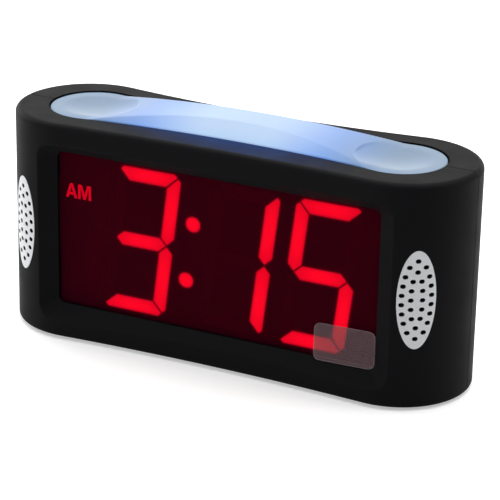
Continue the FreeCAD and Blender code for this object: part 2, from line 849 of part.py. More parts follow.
def make_lens():
    top = lens_form(0, 0, lens_bottom)
    flange = lens_prism(-flange_width, lens_bottom, lens_bottom + flange_height)
    body = top.fuse(flange)
    hollow = lens_form(lens_wall, lens_wall, lens_bottom - past)
    body = body.cut(hollow)
    tools = []
    adds = []
    for side in (-1, 1):
        tools.append(pad_dish(side))
        adds.append(rod_z(pivot_radius, side * press_x, lens_y, lens_switch_top() + press_travel + fixed_gap,
                          rim_z - 2 * pad_sink))
        y0, y1 = sorted((side * pin_end, side * (lens_waist - lens_wall / 2)))
        adds.append(rod_y(pivot_radius, 0, pivot_z, lens_y + y0, lens_y + y1))
    return joined([body.cut(tools)] + adds)


def lens_switch_top():
    """Level of the plungers that the lens's prongs press."""
    return tray_top + board_thickness + switch_height + lens_plunger


def make_tray():
    plate = box(-tray_half_length, tray_half_length, lens_y - tray_half_width, lens_y + tray_half_width,
                tray_top - tray_thickness, tray_top)
    adds = []
    tools = [rod_z(pilot_radius, x, y, tray_top - tray_thickness, tray_top) for x, y in tray_screw_places()]
    for side in (-1, 1):
        y0, y1 = sorted((side * (pin_end + fixed_gap), side * (pin_end + fixed_gap + ear_thickness)))
        ear = box(-ear_half_width, ear_half_width, lens_y + y0, lens_y + y1, tray_top, pivot_z)
        adds.append(ear.fuse(rod_y(ear_half_width, 0, pivot_z, lens_y + y0, lens_y + y1)))
        tools.append(rod_y(pivot_radius + pivot_gap, 0, pivot_z, lens_y + y0 - past, lens_y + y1 + past))
    return joined([plate] + adds).cut(tools)


def tray_arm_places():
    return [-tray_arm_x, tray_arm_x]


def tray_screw_places():
    """Screws that hold the tray to its arms."""
    y = lens_y + light_board_half_width + small_head + fixed_gap
    return [(x, y) for x in tray_arm_places()]


def make_light_board():
    half = light_board_half_length
    return box(-half, half, lens_y - light_board_half_width, lens_y + light_board_half_width,
               tray_top, tray_top + board_thickness)


def make_light_leds():
    z0 = tray_top + board_thickness
    leds = []
    for index in range(4):
        x = (index - 1.5) * light_led_pitch
        barrel = rod_z(light_led_radius, x, lens_y, z0, z0 + light_led_height - light_led_radius)
        dome = Part.makeSphere(light_led_radius, Vector(x, lens_y, z0 + light_led_height - light_led_radius))
        leds.append(joined([barrel, dome.common(box(-reach, reach, -reach, reach, z0, reach))]))
    return group(leds)


def tact_switch(plunger, base, direction):
    """Square switch body whose round plunger stands out by the given height, set on base."""
    turn = Rotation(Vector(0, 0, 1), direction)
    body = centred_box((switch_size, switch_size, switch_height), 0, -switch_size / 2, switch_height / 2)
    switch = joined([body, Part.makeCylinder(plunger_radius, switch_height + plunger)])
    switch.Placement = FreeCAD.Placement(base, turn)
    return switch


def make_lens_switches():
    z = tray_top + board_thickness
    return group([tact_switch(lens_plunger, Vector(side * press_x, lens_y, z), Vector(0, 0, 1))
                  for side in (-1, 1)])


def make_tray_screws():
    return group([small_screw_at(Vector(x, y, tray_top), Vector(0, 0, -1)) for x, y in tray_screw_places()])


# ================================================================ controls
button_names = ["time_button", "alarm_button", "hour_button", "minute_button"]


def button_x(index):
    return first_button_x - index * button_pitch


def set_switch_top():
    return main_board_back + switch_height + set_plunger


def make_button(index):
    """Cap with a retaining flange inside the wall and a stem to its switch."""
    x = button_x(index)
    z = control_level
    flange_y = panel_back - button_gap - flange_plate
    face_y = panel_y + button_proud
    cap = pill_y(button_length, button_height, x, z, flange_y, face_y)
    cap = cap.makeFillet(button_round, edges_at(cap, "Y", face_y))
    flange = pill_y(button_length + 2 * button_rim, button_height + 2 * button_rim, x, z,
                    flange_y, flange_y + flange_plate)
    stem = rod_y(stem_radius, x, z, set_switch_top() + button_travel + fixed_gap, flange_y)
    return joined([cap, flange, stem])


def make_set_switches():
    return group([tact_switch(set_plunger, Vector(button_x(index), main_board_back, control_level),
                              Vector(0, 1, 0)) for index in range(len(button_names))])


def make_slide_body():
    """Slide switch body on the main board, centred under the knob's travel."""
    x = slide_x + slide_travel / 2
    size = (slide_body_length, slide_body_depth, slide_body_height)
    return centred_box(size, x, main_board_back, control_level)


def make_slide_knob():
    """Square knob with finger grooves across its end."""
    y0 = main_board_back + slide_body_depth + run_gap
    y1 = panel_y + knob_proud
    knob = box(slide_x - knob_length / 2, slide_x + knob_length / 2, y0, y1,
               control_level - knob_height / 2, control_level + knob_height / 2)
    grooves = []
    for step in (-1, 0, 1):
        x = slide_x + step * knob_length / 4
        grooves.append(box(x - knob_groove / 2, x + knob_groove / 2, y1 - knob_groove, y1, 0, rim_z))
    return knob.cut(grooves)


def make_dimmer_wheel():
    """Thumbwheel with finger notches round its edge."""
    z0 = control_level - dimmer_thickness / 2
    wheel = rod_z(dimmer_radius, dimmer_x, wheel_y, z0, z0 + dimmer_thickness)
    tools = [rod_z(dimmer_bore + dimmer_fit, dimmer_x, wheel_y, z0, z0 + dimmer_thickness)]
    for index in range(dimmer_notches):
        angle = 2 * math.pi * index / dimmer_notches
        tools.append(rod_z(notch_radius, dimmer_x + dimmer_radius * math.cos(angle),
                           wheel_y + dimmer_radius * math.sin(angle), z0, z0 + dimmer_thickness))
    return wheel.cut(tools)


def make_dimmer_pot():
    """Potentiometer on the main board, with the axle that carries the thumbwheel."""
    top = control_level - dimmer_thickness / 2 - run_gap
    cap_level = control_level + dimmer_thickness / 2 + run_gap
    body = box(dimmer_x - pot_half_width, dimmer_x + pot_half_width, main_board_back,
               panel_back - run_gap, top - pot_height, top)
    axle = rod_z(dimmer_bore, dimmer_x, wheel_y, top, cap_level)
    cap = rod_z(dimmer_cap_radius, dimmer_x, wheel_y, cap_level, cap_level + dimmer_cap_height)
    return joined([body, axle, cap])


# ================================================================ inside pieces
def board_posts():
    """Corners where the main board is screwed to the rear shell."""
    x = main_board_half - post_radius - board_edge
    levels = (base_z + main_board_bottom + post_radius + board_edge, base_z + panel_bottom - 2 * post_radius)
    return [(side * x, z) for side in (-1, 1) for z in levels]


def make_main_board():
    board = box(-main_board_half, main_board_half, main_board_y, main_board_back,
                base_z + main_board_bottom, base_z + main_board_top)
    return board.cut([rod_y(pilot_radius, x, z, main_board_y, main_board_back) for x, z in board_posts()])


def make_board_screws():
    return group([small_screw_at(Vector(x, main_board_y, z), Vector(0, 1, 0)) for x, z in board_posts()])


def make_clock_chip():
    return centred_box(chip_size, 0, main_board_y - chip_size[1], base_z + chip_z)


def make_buzzer():
    z = base_z + buzzer_z
    can = rod_y(buzzer_radius, buzzer_x, z, main_board_y - buzzer_height, main_board_y)
    return can.cut(rod_y(buzzer_hole, buzzer_x, z, main_board_y - buzzer_height, main_board_y - buzzer_base))


def core_posts():
    z0 = base_z + core_z - ear_reach / 2
    z1 = base_z + core_z + core_size[2] + ear_reach / 2
    return [(core_x, z0), (core_x, z1)]


def make_transformer_core():
    """Laminated core with a window each side of its middle limb, and a screw ear at each end."""
    width, depth, height = core_size
    limb = width / 8
    z = base_z + core_z + height / 2
    core = centred_box(core_size, core_x, core_y, z)
    window = (width / 2 - 2 * limb, depth, coil_size[1] + 2 * fixed_gap)
    core = core.cut([centred_box(window, core_x + side * 2 * limb, core_y, z) for side in (-1, 1)])
    ears = []
    for side in (-1, 1):
        ear = (2 * ear_reach, ear_plate, ear_reach + ear_plate)
        middle = z + side * (height + ear_reach - ear_plate) / 2
        ears.append(centred_box(ear, core_x, core_y + depth - ear_plate, middle))
    holes = [rod_y(pilot_radius, x, pz, core_y, core_y + depth) for x, pz in core_posts()]
    return joined([core] + ears).cut(holes)


def make_transformer_coil():
    """Coil wound round the core's middle limb; it stands proud of the core front and back."""
    width, depth, height = core_size
    z = base_z + core_z + height / 2
    limb = width / 4 + 2 * fixed_gap
    outer = centred_box((coil_size[0], depth + 2 * coil_wall, coil_size[1]), core_x, core_y - coil_wall, z)
    inner = centred_box((limb, depth + 2 * fixed_gap, coil_size[1]), core_x, core_y - fixed_gap, z)
    return outer.cut(inner)


def make_transformer_screws():
    y = core_y + core_size[1] - ear_plate
    return group([small_screw_at(Vector(x, y, z), Vector(0, 1, 0)) for x, z in core_posts()])


def make_casing_screws():
    """Long screws that hold the shells together, with a cross slot in the head."""
    seat = seam_y + head_seat
    half = head_radius * cross_share
    screws = []
    for x, z in boss_places():
        screw = pan_screw(head_radius, head_height, screw_radius, head_seat + screw_reach,
                          Vector(x, seat, z), Vector(0, -1, 0))
        for cross in ((2 * half, cross_width, cross_width), (cross_width, cross_width, 2 * half)):
            screw = screw.cut(centred_box(cross, x, seat + head_height - cross_width, z))
        screws.append(screw)
    return group(screws)


def make_feet():
    return group([rod_z(foot_radius, x, y, 0, base_z + foot_recess) for x, y in foot_places()])


def make_bush():
    """Flanged bush that lines the cord's way through the rear wall."""
    x = bush_x
    z = base_z + bush_z
    front_y = face_depth(abs(x) + bush_flange, rear_waist)
    back_y = face_depth(abs(x) - bush_flange, rear_waist) - wall - fixed_gap
    end_y = front_y + bush_flange_height
    inner_end = back_y - bush_flange_height
    front = rod_y(bush_flange, x, z, front_y, end_y)
    front = front.makeFillet(bush_round, edges_at(front, "Y", end_y))
    back = rod_y(bush_flange, x, z, inner_end, back_y)
    neck = rod_y(bush_neck, x, z, inner_end, front_y)
    return joined([neck, front, back]).cut(rod_y(bush_bore, x, z, inner_end, end_y))


# ================================================================ backup battery
def cell_axis():
    return bay_front + bay_depth / 2, inner_floor + run_gap + cell_radius


def make_cells():
    """Two small cells end to end, each with a nub on its right end."""
    y, z = cell_axis()
    span = cell_length + nub_length
    cells = []
    for index in (0, 1):
        x0 = (index - 1) * span
        along = Vector(1, 0, 0)
        can = Part.makeCylinder(cell_radius, cell_length, Vector(x0, y, z), along)
        nub = Part.makeCylinder(nub_radius, span, Vector(x0, y, z), along)
        cells.append(joined([can, nub]))
    return group(cells)


def make_contacts():
    """End plates, each with a cone-shaped spring that reaches its cell."""
    y, z = cell_axis()
    span = cell_length + nub_length
    room = bay_half_length - span
    contacts = []
    for side in (-1, 1):
        x0, x1 = sorted((side * bay_half_length, side * (bay_half_length - contact_thickness)))
        plate = box(x0, x1, y - contact_half, y + contact_half, z - contact_half, z + contact_half)
        spring = Part.makeCone(nub_radius * 2, nub_radius, room, Vector(side * bay_half_length, y, z),
                               Vector(-side, 0, 0))
        contacts.append(joined([plate, spring]))
    return group(contacts)


def make_battery_door():
    """Door in the base: tongues on the ledges, and its rear edge part of the casing's outline."""
    form = casing_prism(0, base_z, rim_z)
    form = form.makeFillet(base_round, edges_at(form, "Z", base_z))
    lower, upper = door_openings(run_gap)
    upper_z = base_z + ledge_thickness + run_gap
    panel = lower.fuse(box(-bay_half_length + run_gap, bay_half_length - run_gap, bay_front + run_gap,
                           reach, upper_z - past, inner_floor - run_gap))
    body = joined([panel, upper]).common(form)
    tools = []
    for index in range(door_grooves):
        y = bay_front + bay_depth / 2 + (index - (door_grooves - 1) / 2) * groove_pitch
        tools.append(box(-bay_depth, bay_depth, y - groove_width / 2, y + groove_width / 2,
                         base_z, base_z + groove_depth))
    return body.cut(tools)


# ================================================================ write every node
def export(name, shape):
    solids = shape.Solids
    good = shape.isValid() and solids and all(s.isValid() and s.Volume > 0 for s in solids)
    print(f"{name:22s} solids {len(solids):3d}  volume {shape.Volume / 1000:8.3f} cm3  ok {bool(good)}")
    shape.exportStep("parts/" + name + ".step")


os.makedirs("parts", exist_ok=True)
casing = casing_body()
export("front_shell", make_front_shell(casing))
export("rear_shell", make_rear_shell(casing))
export("night_light_lens", make_lens())
export("light_tray", make_tray())
export("light_board", make_light_board())
export("night_light_leds", make_light_leds())
export("lens_switches", make_lens_switches())
export("tray_screws", make_tray_screws())
export("display_window", window_block(window_overlap, window_y, window_y + window_thickness))
export("display_reflector", make_reflector())
for node, (names, x) in figures.items():
    export(node, group(bars(names, x, reflector_y, reflector_y + bar_depth)))
dark = [bar for names, x in unlit_figures() for bar in bars(names, x, reflector_y, reflector_y + bar_depth)]
export("unlit_bars", group(dark))
export("colon_dots", group(colon_dots(colon_radius, reflector_y, reflector_y + bar_depth)))
export("am_mark", mark_block(0, 0, reflector_y, reflector_y + bar_depth))
export("pm_mark", mark_block(1, 0, reflector_y, reflector_y + bar_depth))
export("display_leds", make_display_leds())
export("display_board", make_display_board())
export("display_screws", make_display_screws())
export("left_grille", make_grille(-1))
export("right_grille", make_grille(1))
export("main_board", make_main_board())
export("clock_chip", make_clock_chip())
export("buzzer", make_buzzer())
export("board_screws", make_board_screws())
export("set_switches", make_set_switches())
for number, node in enumerate(button_names):
    export(node, make_button(number))
export("alarm_switch_body", make_slide_body())
export("alarm_switch_knob", make_slide_knob())
export("dimmer_pot", make_dimmer_pot())
export("dimmer_wheel", make_dimmer_wheel())
export("transformer_core", make_transformer_core())
export("transformer_coil", make_transformer_coil())
export("transformer_screws", make_transformer_screws())
export("cord_bush", make_bush())
export("backup_cells", make_cells())
export("battery_contacts", make_contacts())
export("battery_door", make_battery_door())
export("casing_screws", make_casing_screws())
export("rubber_feet", make_feet())
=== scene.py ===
# %% [markdown]
# # A bedside alarm clock with large red figures and a night-light top
#
# The clock is one frame of moulded and electrical parts, already at its real size. This lesson
# gives it its looks. We open the frame, set up a camera and a small studio, and then make the
# visible pieces one by one: the glowing lens, the lit figures, the clear label, and the finish of
# every plastic, metal and rubber surface. All lengths are in metres, +Z is up and the display
# faces -Y.

import json
import math

import bmesh
import bpy
import numpy as np
from mathutils import Matrix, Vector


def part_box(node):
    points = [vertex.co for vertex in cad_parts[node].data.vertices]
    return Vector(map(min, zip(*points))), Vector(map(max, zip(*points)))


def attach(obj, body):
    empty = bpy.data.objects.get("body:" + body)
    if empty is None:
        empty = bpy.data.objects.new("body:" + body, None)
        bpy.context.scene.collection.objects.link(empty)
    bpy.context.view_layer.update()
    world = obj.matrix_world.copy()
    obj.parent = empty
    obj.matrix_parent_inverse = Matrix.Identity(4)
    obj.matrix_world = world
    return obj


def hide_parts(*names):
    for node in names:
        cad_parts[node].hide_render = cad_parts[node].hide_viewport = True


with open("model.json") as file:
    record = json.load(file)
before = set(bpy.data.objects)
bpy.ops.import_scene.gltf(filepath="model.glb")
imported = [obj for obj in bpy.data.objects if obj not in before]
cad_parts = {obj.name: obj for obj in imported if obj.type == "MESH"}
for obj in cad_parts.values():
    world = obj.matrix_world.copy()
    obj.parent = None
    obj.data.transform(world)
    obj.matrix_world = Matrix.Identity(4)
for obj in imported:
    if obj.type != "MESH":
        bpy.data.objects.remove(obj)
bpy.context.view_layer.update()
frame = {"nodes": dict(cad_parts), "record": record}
nodes = frame["nodes"]
mm = 0.001
print("pieces in the frame:", len(nodes))

# %% [markdown]
# ## The camera
#
# A long lens from about 0.7 m away keeps the clock's sides nearly parallel, as in a catalogue
# picture. It could be aimed by hand, but it is easier to repeat when it is worked out from a
# direction, a distance and the point it looks at. The two turns give the direction back towards
# the camera, and two more vectors at right angles to it complete its matrix. A small roll about
# the viewing line tips the horizon a little.

# %% Camera
view_turn = math.radians(25.6035)
view_rise = math.radians(21.568)
view_roll = math.radians(1.140)
view_distance = 679.06 * mm
view_target = np.array([3.046, 0.0, 31.516]) * mm
sensor_width = 36.0     # these two are in millimetres, as the camera's settings have them
focal_length = 163.684


def facing_matrix(axes, position):
    """Matrix of an object whose own X, Y and Z point along three axes, at a position."""
    matrix = np.eye(4)
    matrix[:3, :3] = np.stack(axes, axis=1)
    matrix[:3, 3] = position
    return Matrix(matrix.tolist())


back = np.array([math.sin(view_turn) * math.cos(view_rise),
                 -math.cos(view_turn) * math.cos(view_rise), math.sin(view_rise)])
level = np.array([math.cos(view_turn), math.sin(view_turn), 0.0])
upward = np.cross(back, level)
right = level * math.cos(view_roll) + upward * math.sin(view_roll)
up = upward * math.cos(view_roll) - level * math.sin(view_roll)

camera_data = bpy.data.cameras.new("camera")
camera_data.sensor_width = sensor_width
camera_data.lens = focal_length
camera = bpy.data.objects.new("camera", camera_data)
bpy.context.collection.objects.link(camera)
camera.matrix_world = facing_matrix([right, up, back], view_target + back * view_distance)
bpy.context.scene.camera = camera
print("camera at, mm:", np.round((view_target + back * view_distance) / mm, 1))

# %% [markdown]
# ## Helpers for surfaces
#
# Most new pieces are grids of points that a formula fills. A grid of rows and columns needs its
# list of four-cornered faces, which depends only on the two counts. Making that list once, as
# whole arrays, keeps every later cell short. Rows that meet at a pole or a seam leave double
# points behind, so each new mesh is welded and its faces are turned outwards.

# %% Grids and meshes
weld_distance = 1e-7


def grid_faces(rows, columns, closed=False):
    """Faces of a grid numbered row by row: corner (i, j), its right neighbour, the two above.

    With closed, the last column joins the first one again.
    """
    i = np.arange(rows - 1)[:, None]
    j = np.arange(columns if closed else columns - 1)[None, :]
    beside = (j + 1) % columns
    corners = [i * columns + j, i * columns + beside,
               (i + 1) * columns + beside, (i + 1) * columns + j]
    return np.stack(corners, axis=-1).reshape(-1, 4)


def new_piece(name, points, faces, crisp_angle=None, **values):
    """A smooth-shaded mesh object from points and lists of corners, with values for its points.

    Edges whose two faces turn by more than the crisp angle, in degrees, stay sharp.
    """
    mesh = bpy.data.meshes.new(name)
    mesh.from_pydata(points.reshape(-1, 3).tolist(), [], faces)
    for key, numbers in values.items():
        layer = mesh.attributes.new(key, "FLOAT", "POINT")
        layer.data.foreach_set("value", np.ravel(numbers).astype(np.float32))
    work = bmesh.new()
    work.from_mesh(mesh)
    bmesh.ops.remove_doubles(work, verts=work.verts, dist=weld_distance)
    bmesh.ops.recalc_face_normals(work, faces=work.faces)
    work.to_mesh(mesh)
    work.free()
    mesh.shade_smooth()
    if crisp_angle:
        mesh.set_sharp_from_angle(angle=math.radians(crisp_angle))
    piece = bpy.data.objects.new(name, mesh)
    bpy.context.collection.objects.link(piece)
    print(name, "has", len(mesh.polygons), "faces")
    return piece


def closed_rows(name, points, crisp_angle, **values):
    """A piece from rows of points that each run once round it."""
    faces = grid_faces(*points.shape[:2], closed=True).tolist()
    return new_piece(name, points, faces, crisp_angle, **values)


# %% [markdown]
# ## Helpers for materials
#
# A material is a small network of nodes round one Principled shader. Values that are the same
# all over a surface go straight onto the shader's sockets. Only what changes over the surface
# comes from nodes. All patterns read Object coordinates, which are metres in the clock's own
# frame, so a grain of 0.3 mm is a scale of a few thousand. Each helper adds the nodes of one
# step and gives its result, so that a finish reads like a short recipe.

# %% Nodes
def rgb(red, green, blue):
    """A colour with full alpha, from linear red, green and blue."""
    return (red, green, blue, 1.0)


black = rgb(0.0, 0.0, 0.0)
white = rgb(1.0, 1.0, 1.0)


def feed(tree, value, socket):
    """Gives a socket a plain value, or links it to the output of another node."""
    if isinstance(value, bpy.types.NodeSocket):
        tree.links.new(value, socket)
    else:
        socket.default_value = value


def new_material(name, **sockets):
    """A material with one Principled shader, whose sockets take the given plain values."""
    material = bpy.data.materials.new(name)
    material.use_nodes = True
    shader = material.node_tree.nodes["Principled BSDF"]
    for key, value in sockets.items():
        shader.inputs[key.replace("_", " ")].default_value = value
    return material, material.node_tree, shader


def place_in(tree):
    """The node output that gives Object coordinates."""
    return tree.nodes.new("ShaderNodeTexCoord").outputs["Object"]


def calculate(tree, operation, *values, kind="ShaderNodeMath", result=0):
    """Result of one Math or Vector Math node."""
    node = tree.nodes.new(kind)
    node.operation = operation
    for value, socket in zip(values, node.inputs):
        feed(tree, value, socket)
    return node.outputs[result]


def plan_distance(tree, x, y, mirrored=False):
    """Distance in plan from the upright line at x, y. Mirrored, all four quarters measure alike."""
    vector = {"kind": "ShaderNodeVectorMath"}
    where = place_in(tree)
    if mirrored:
        where = calculate(tree, "ABSOLUTE", where, **vector)
    offset = calculate(tree, "SUBTRACT", where, (x, y, 0.0), **vector)
    flat = calculate(tree, "MULTIPLY", offset, (1.0, 1.0, 0.0), **vector)
    return calculate(tree, "LENGTH", flat, result="Value", **vector)


def blend_colours(tree, factor, first, second, blend="MIX"):
    """A colour between two others by a factor from 0 to 1, or their blend of another kind."""
    mix = tree.nodes.new("ShaderNodeMix")
    mix.data_type = "RGBA"
    mix.blend_type = blend
    for value, socket in zip((factor, first, second),
                             (mix.inputs["Factor"], mix.inputs[6], mix.inputs[7])):
        feed(tree, value, socket)
    return mix.outputs[2]


def in_range(tree, value, low, high, new_low, new_high, steps="LINEAR"):
    """Value stretched from one range to another, and held inside it."""
    node = tree.nodes.new("ShaderNodeMapRange")
    node.interpolation_type = steps
    for key, number in (("Value", value), ("From Min", low), ("From Max", high),
                        ("To Min", new_low), ("To Max", new_high)):
        feed(tree, number, node.inputs[key])
    return node.outputs["Result"]


def bump(tree, shader, height, distance):
    """Bump from a height value, joined to the shader's normal."""
    node = tree.nodes.new("ShaderNodeBump")
    for key, value in (("Strength", 1.0), ("Distance", distance), ("Height", height)):
        feed(tree, value, node.inputs[key])
    tree.links.new(node.outputs["Normal"], shader.inputs["Normal"])


# %% [markdown]
# ## Grain, a shared effect
#
# Moulds for such casings are etched, so the plastic comes out with a fine grain that breaks up
# every highlight. The casing, the buttons, the grilles and the feet all have it at different
# sizes. Such an effect is best made once, as a node group with named inputs: a fine noise for
# the height, and a slow noise for the faint unevenness of colour and shine.

# %% Grain group
def make_grain_group():
    """Node group: Size and Drift in metres give a Height for bump and a Mottle from 0 to 1."""
    group = bpy.data.node_groups.new("moulded grain", "ShaderNodeTree")
    new_socket = group.interface.new_socket
    for name in ("Size", "Drift"):
        new_socket(name, in_out="INPUT", socket_type="NodeSocketFloat").default_value = mm
    for name in ("Height", "Mottle"):
        new_socket(name, in_out="OUTPUT", socket_type="NodeSocketFloat")
    ends = group.nodes.new("NodeGroupInput")
    out = group.nodes.new("NodeGroupOutput")
    where = place_in(group)
    for name, detail, result in (("Size", 2.0, "Height"), ("Drift", 3.0, "Mottle")):
        noise = group.nodes.new("ShaderNodeTexNoise")
        scale = calculate(group, "DIVIDE", 1.0, ends.outputs[name])
        for key, value in (("Detail", detail), ("Vector", where), ("Scale", scale)):
            feed(group, value, noise.inputs[key])
        group.links.new(noise.outputs["Fac"], out.inputs[result])
    return group


grain = make_grain_group()
mottle_range = (0.3, 0.7)       # most of a noise texture lies between these


def add_grain(tree, size, drift):
    """One use of the grain: its mottle and its height."""
    node = tree.nodes.new("ShaderNodeGroup")
    node.node_tree = grain
    node.inputs["Size"].default_value = size
    node.inputs["Drift"].default_value = drift
    return node.outputs["Mottle"], node.outputs["Height"]


def drifting(tree, mottle, low, high):
    """A number that drifts between two with the mottle."""
    return in_range(tree, mottle, *mottle_range, low, high)


print("grain group has:", [item.name for item in grain.interface.items_tree])

# %% [markdown]
# ## Plain mouldings
#
# Most parts are moulded plastic that differs only in colour, shine and the size of its grain, so
# one recipe makes them all. Colour and roughness drift between two near values, because no
# moulding is perfectly even. The casing is a deep matt black, the buttons a little greyer, the
# inner frames white, and the feet are the roughest. The diodes' clear resin has no grain at all.

# %% Grained plastics
def grained_plastic(name, dark, light, rough, size, drift, depth, **sockets):
    """Moulded plastic: colour and roughness drift a little, and a fine grain covers it."""
    material, tree, shader = new_material(name, **sockets)
    mottle, height = add_grain(tree, size, drift)
    feed(tree, blend_colours(tree, mottle, dark, light), shader.inputs["Base Color"])
    feed(tree, drifting(tree, mottle, *rough), shader.inputs["Roughness"])
    if depth:
        bump(tree, shader, height, depth)
    return material


casing_black = grained_plastic(
    "matt black casing", rgb(0.0020, 0.0021, 0.0026), rgb(0.0036, 0.0037, 0.0044),
    (0.52, 0.62), 0.35 * mm, 9 * mm, 0.012 * mm, Specular_IOR_Level=0.05)
button_black = grained_plastic(
    "dark keys", rgb(0.010, 0.010, 0.011), rgb(0.016, 0.016, 0.017),
    (0.38, 0.48), 0.25 * mm, 4 * mm, 0.008 * mm, Specular_IOR_Level=0.15)
inner_white = grained_plastic(
    "white inner plastic", rgb(0.70, 0.71, 0.72), rgb(0.78, 0.79, 0.80),
    (0.45, 0.6), 0.3 * mm, 8 * mm, 0.008 * mm)
chip_black = grained_plastic(
    "black chip resin", rgb(0.012, 0.012, 0.012), rgb(0.02, 0.02, 0.02),
    (0.5, 0.65), 0.15 * mm, 3 * mm, 0.006 * mm)
foot_rubber = grained_plastic(
    "rubber feet", rgb(0.015, 0.015, 0.015), rgb(0.03, 0.03, 0.03),
    (0.75, 0.9), 0.3 * mm, 2 * mm, 0.02 * mm, Specular_IOR_Level=0.2)
led_clear = grained_plastic(
    "clear diode resin", rgb(0.7, 0.78, 0.9), rgb(0.8, 0.86, 0.95),
    (0.12, 0.2), 0.4 * mm, 2 * mm, 0.0, Specular_IOR_Level=0.5)
print("plain mouldings:", 6)

# %% [markdown]
# The grilles are silver on their face. The walls of the holes are coloured near black, a painted
# shade that stands for the dark inside the holes, so they look black from any side. The face is a
# part of a cylinder round the axis of its round end, so the distance from that axis tells the face
# from the walls of the holes.

# %% Silver face of the grilles
round_end_x = 51.6 * mm
face_radius = 22.55 * mm
hole_shade_depth = 0.1 * mm
# Painted shade: the walls of the holes take this near-black colour.
hole_painted_shade = rgb(0.006, 0.006, 0.006)

grille_silver, grille_tree, grille_shader = new_material("silver grille with painted hole shade")
grille_mottle, grille_height = add_grain(grille_tree, 0.2 * mm, 5 * mm)
silver = blend_colours(grille_tree, grille_mottle, rgb(0.88, 0.90, 0.92), rgb(0.93, 0.95, 0.97))
on_silver_face = in_range(grille_tree, plan_distance(grille_tree, round_end_x, 0.0, mirrored=True),
                   face_radius - 2 * hole_shade_depth, face_radius - hole_shade_depth, 0.0, 1.0)
feed(grille_tree, blend_colours(grille_tree, on_silver_face, hole_painted_shade, silver),
     grille_shader.inputs["Base Color"])
feed(grille_tree, drifting(grille_tree, grille_mottle, 0.34, 0.44),
     grille_shader.inputs["Roughness"])
bump(grille_tree, grille_shader, grille_height, 0.004 * mm)
print("painted hole shade starts", round(hole_shade_depth / mm, 2), "mm deep")

# %% [markdown]
# ## Metal, boards, wire and cells
#
# The small hidden parts get their own finishes too. Plated steel is bright with fine streaks, a
# circuit board is green lacquer with faint tracks, the transformer shows the edges of its stacked
# sheets, and its coil shows turns of wire. Stripes come from a wave texture along one axis, which
# is the plainest way to say "many thin layers". At a scale of 1 that texture repeats every tenth
# of pi, so the scale is this period divided by the pitch.

# %% Striped finishes
wave_period = math.pi / 10
stripe_wander = 0.4


def striped(name, axis, pitch, dark, light, rough, depth, **sockets):
    """Material with fine parallel lines at the given pitch, across the named axis."""
    material, tree, shader = new_material(name, Roughness=rough, **sockets)
    wave = tree.nodes.new("ShaderNodeTexWave")
    wave.bands_direction = axis
    for key, value in (("Scale", wave_period / pitch), ("Distortion", stripe_wander),
                       ("Vector", place_in(tree))):
        feed(tree, value, wave.inputs[key])
    feed(tree, blend_colours(tree, wave.outputs["Fac"], dark, light), shader.inputs["Base Color"])
    if depth:
        bump(tree, shader, wave.outputs["Fac"], depth)
    return material


screw_steel = striped("plated screws", "Z", 0.08 * mm, rgb(0.42, 0.42, 0.44),
                      rgb(0.62, 0.62, 0.64), 0.32, 0.003 * mm, Metallic=1.0)
core_iron = striped("stacked core sheets", "Y", 0.5 * mm, rgb(0.05, 0.05, 0.055),
                    rgb(0.2, 0.2, 0.21), 0.45, 0.05 * mm, Metallic=0.8)
coil_copper = striped("turns of copper wire", "Z", 0.25 * mm, rgb(0.45, 0.16, 0.05),
                      rgb(0.75, 0.34, 0.12), 0.35, 0.06 * mm, Metallic=0.6)
cell_sleeve = striped("sleeve of the cells", "X", 14 * mm, rgb(0.05, 0.06, 0.08),
                      rgb(0.16, 0.17, 0.2), 0.3, 0.0)
board_green = striped("lacquered board", "X", 1.3 * mm, rgb(0.01, 0.10, 0.04),
                      rgb(0.02, 0.16, 0.07), 0.35, 0.02 * mm)
print("striped finishes:", 5)

# %% [markdown]
# ## The tinted window
#
# The window is a flat plate of clear red plastic. Light from the figures passes it, and other
# colours are swallowed, so the unlit part looks nearly black with a hint of red. The shader's
# transmission does that: its base colour is what one pass lets through. A low refractive index
# keeps the bright surroundings from washing out the figures, as a non-glare window does. Behind
# it lie the dark reflector block and the bars that are switched off. Both catch a trace of stray
# light from the lit bars, which a faint glow of their own stands for.

# %% Window, reflector and unlit bars
stray_light = rgb(0.0075, 0.0, 0.011)
stray = {"Specular_IOR_Level": 0.1, "Emission_Color": stray_light, "Emission_Strength": 1.0}

window_red = grained_plastic(
    "clear red window", rgb(0.86, 0.012, 0.14), rgb(0.90, 0.016, 0.16),
    (0.0, 0.02), 0.6 * mm, 20 * mm, 0.0, Transmission_Weight=1.0, IOR=1.05)
reflector_dark = grained_plastic(
    "dark reflector block", rgb(0.0092, 0.0012, 0.004), rgb(0.0112, 0.0012, 0.005),
    (0.6, 0.75), 0.3 * mm, 12 * mm, 0.004 * mm, **stray)
bar_unlit = grained_plastic(
    "unlit bars", rgb(0.0104, 0.0012, 0.005), rgb(0.0124, 0.0015, 0.006),
    (0.5, 0.6), 0.3 * mm, 6 * mm, 0.004 * mm, **stray)
print("stray light in the window:", stray_light[:3])

# %% [markdown]
# ## Lit bars
#
# Each bar of a figure is a little light pipe: brightest where the chip sits behind its middle and
# dimmer towards its edge. A plain block can't show that, so each bar becomes a set of rings that
# shrink from its outline to the line along its middle, and every ring carries a glow value. The
# corner points follow from the figure's width, height and slant. Neighbouring bars share mitred
# edges, and each bar is then drawn in by half of the dark gap.

# %% Outline of one bar
digit_height = 45.72 * mm
digit_width = 21.26 * mm
digit_slant = 0.12
bar_width = 4.22 * mm
bar_gap = 0.5 * mm
bar_cut = 2.4 * mm
bar_depth = 2.5 * mm


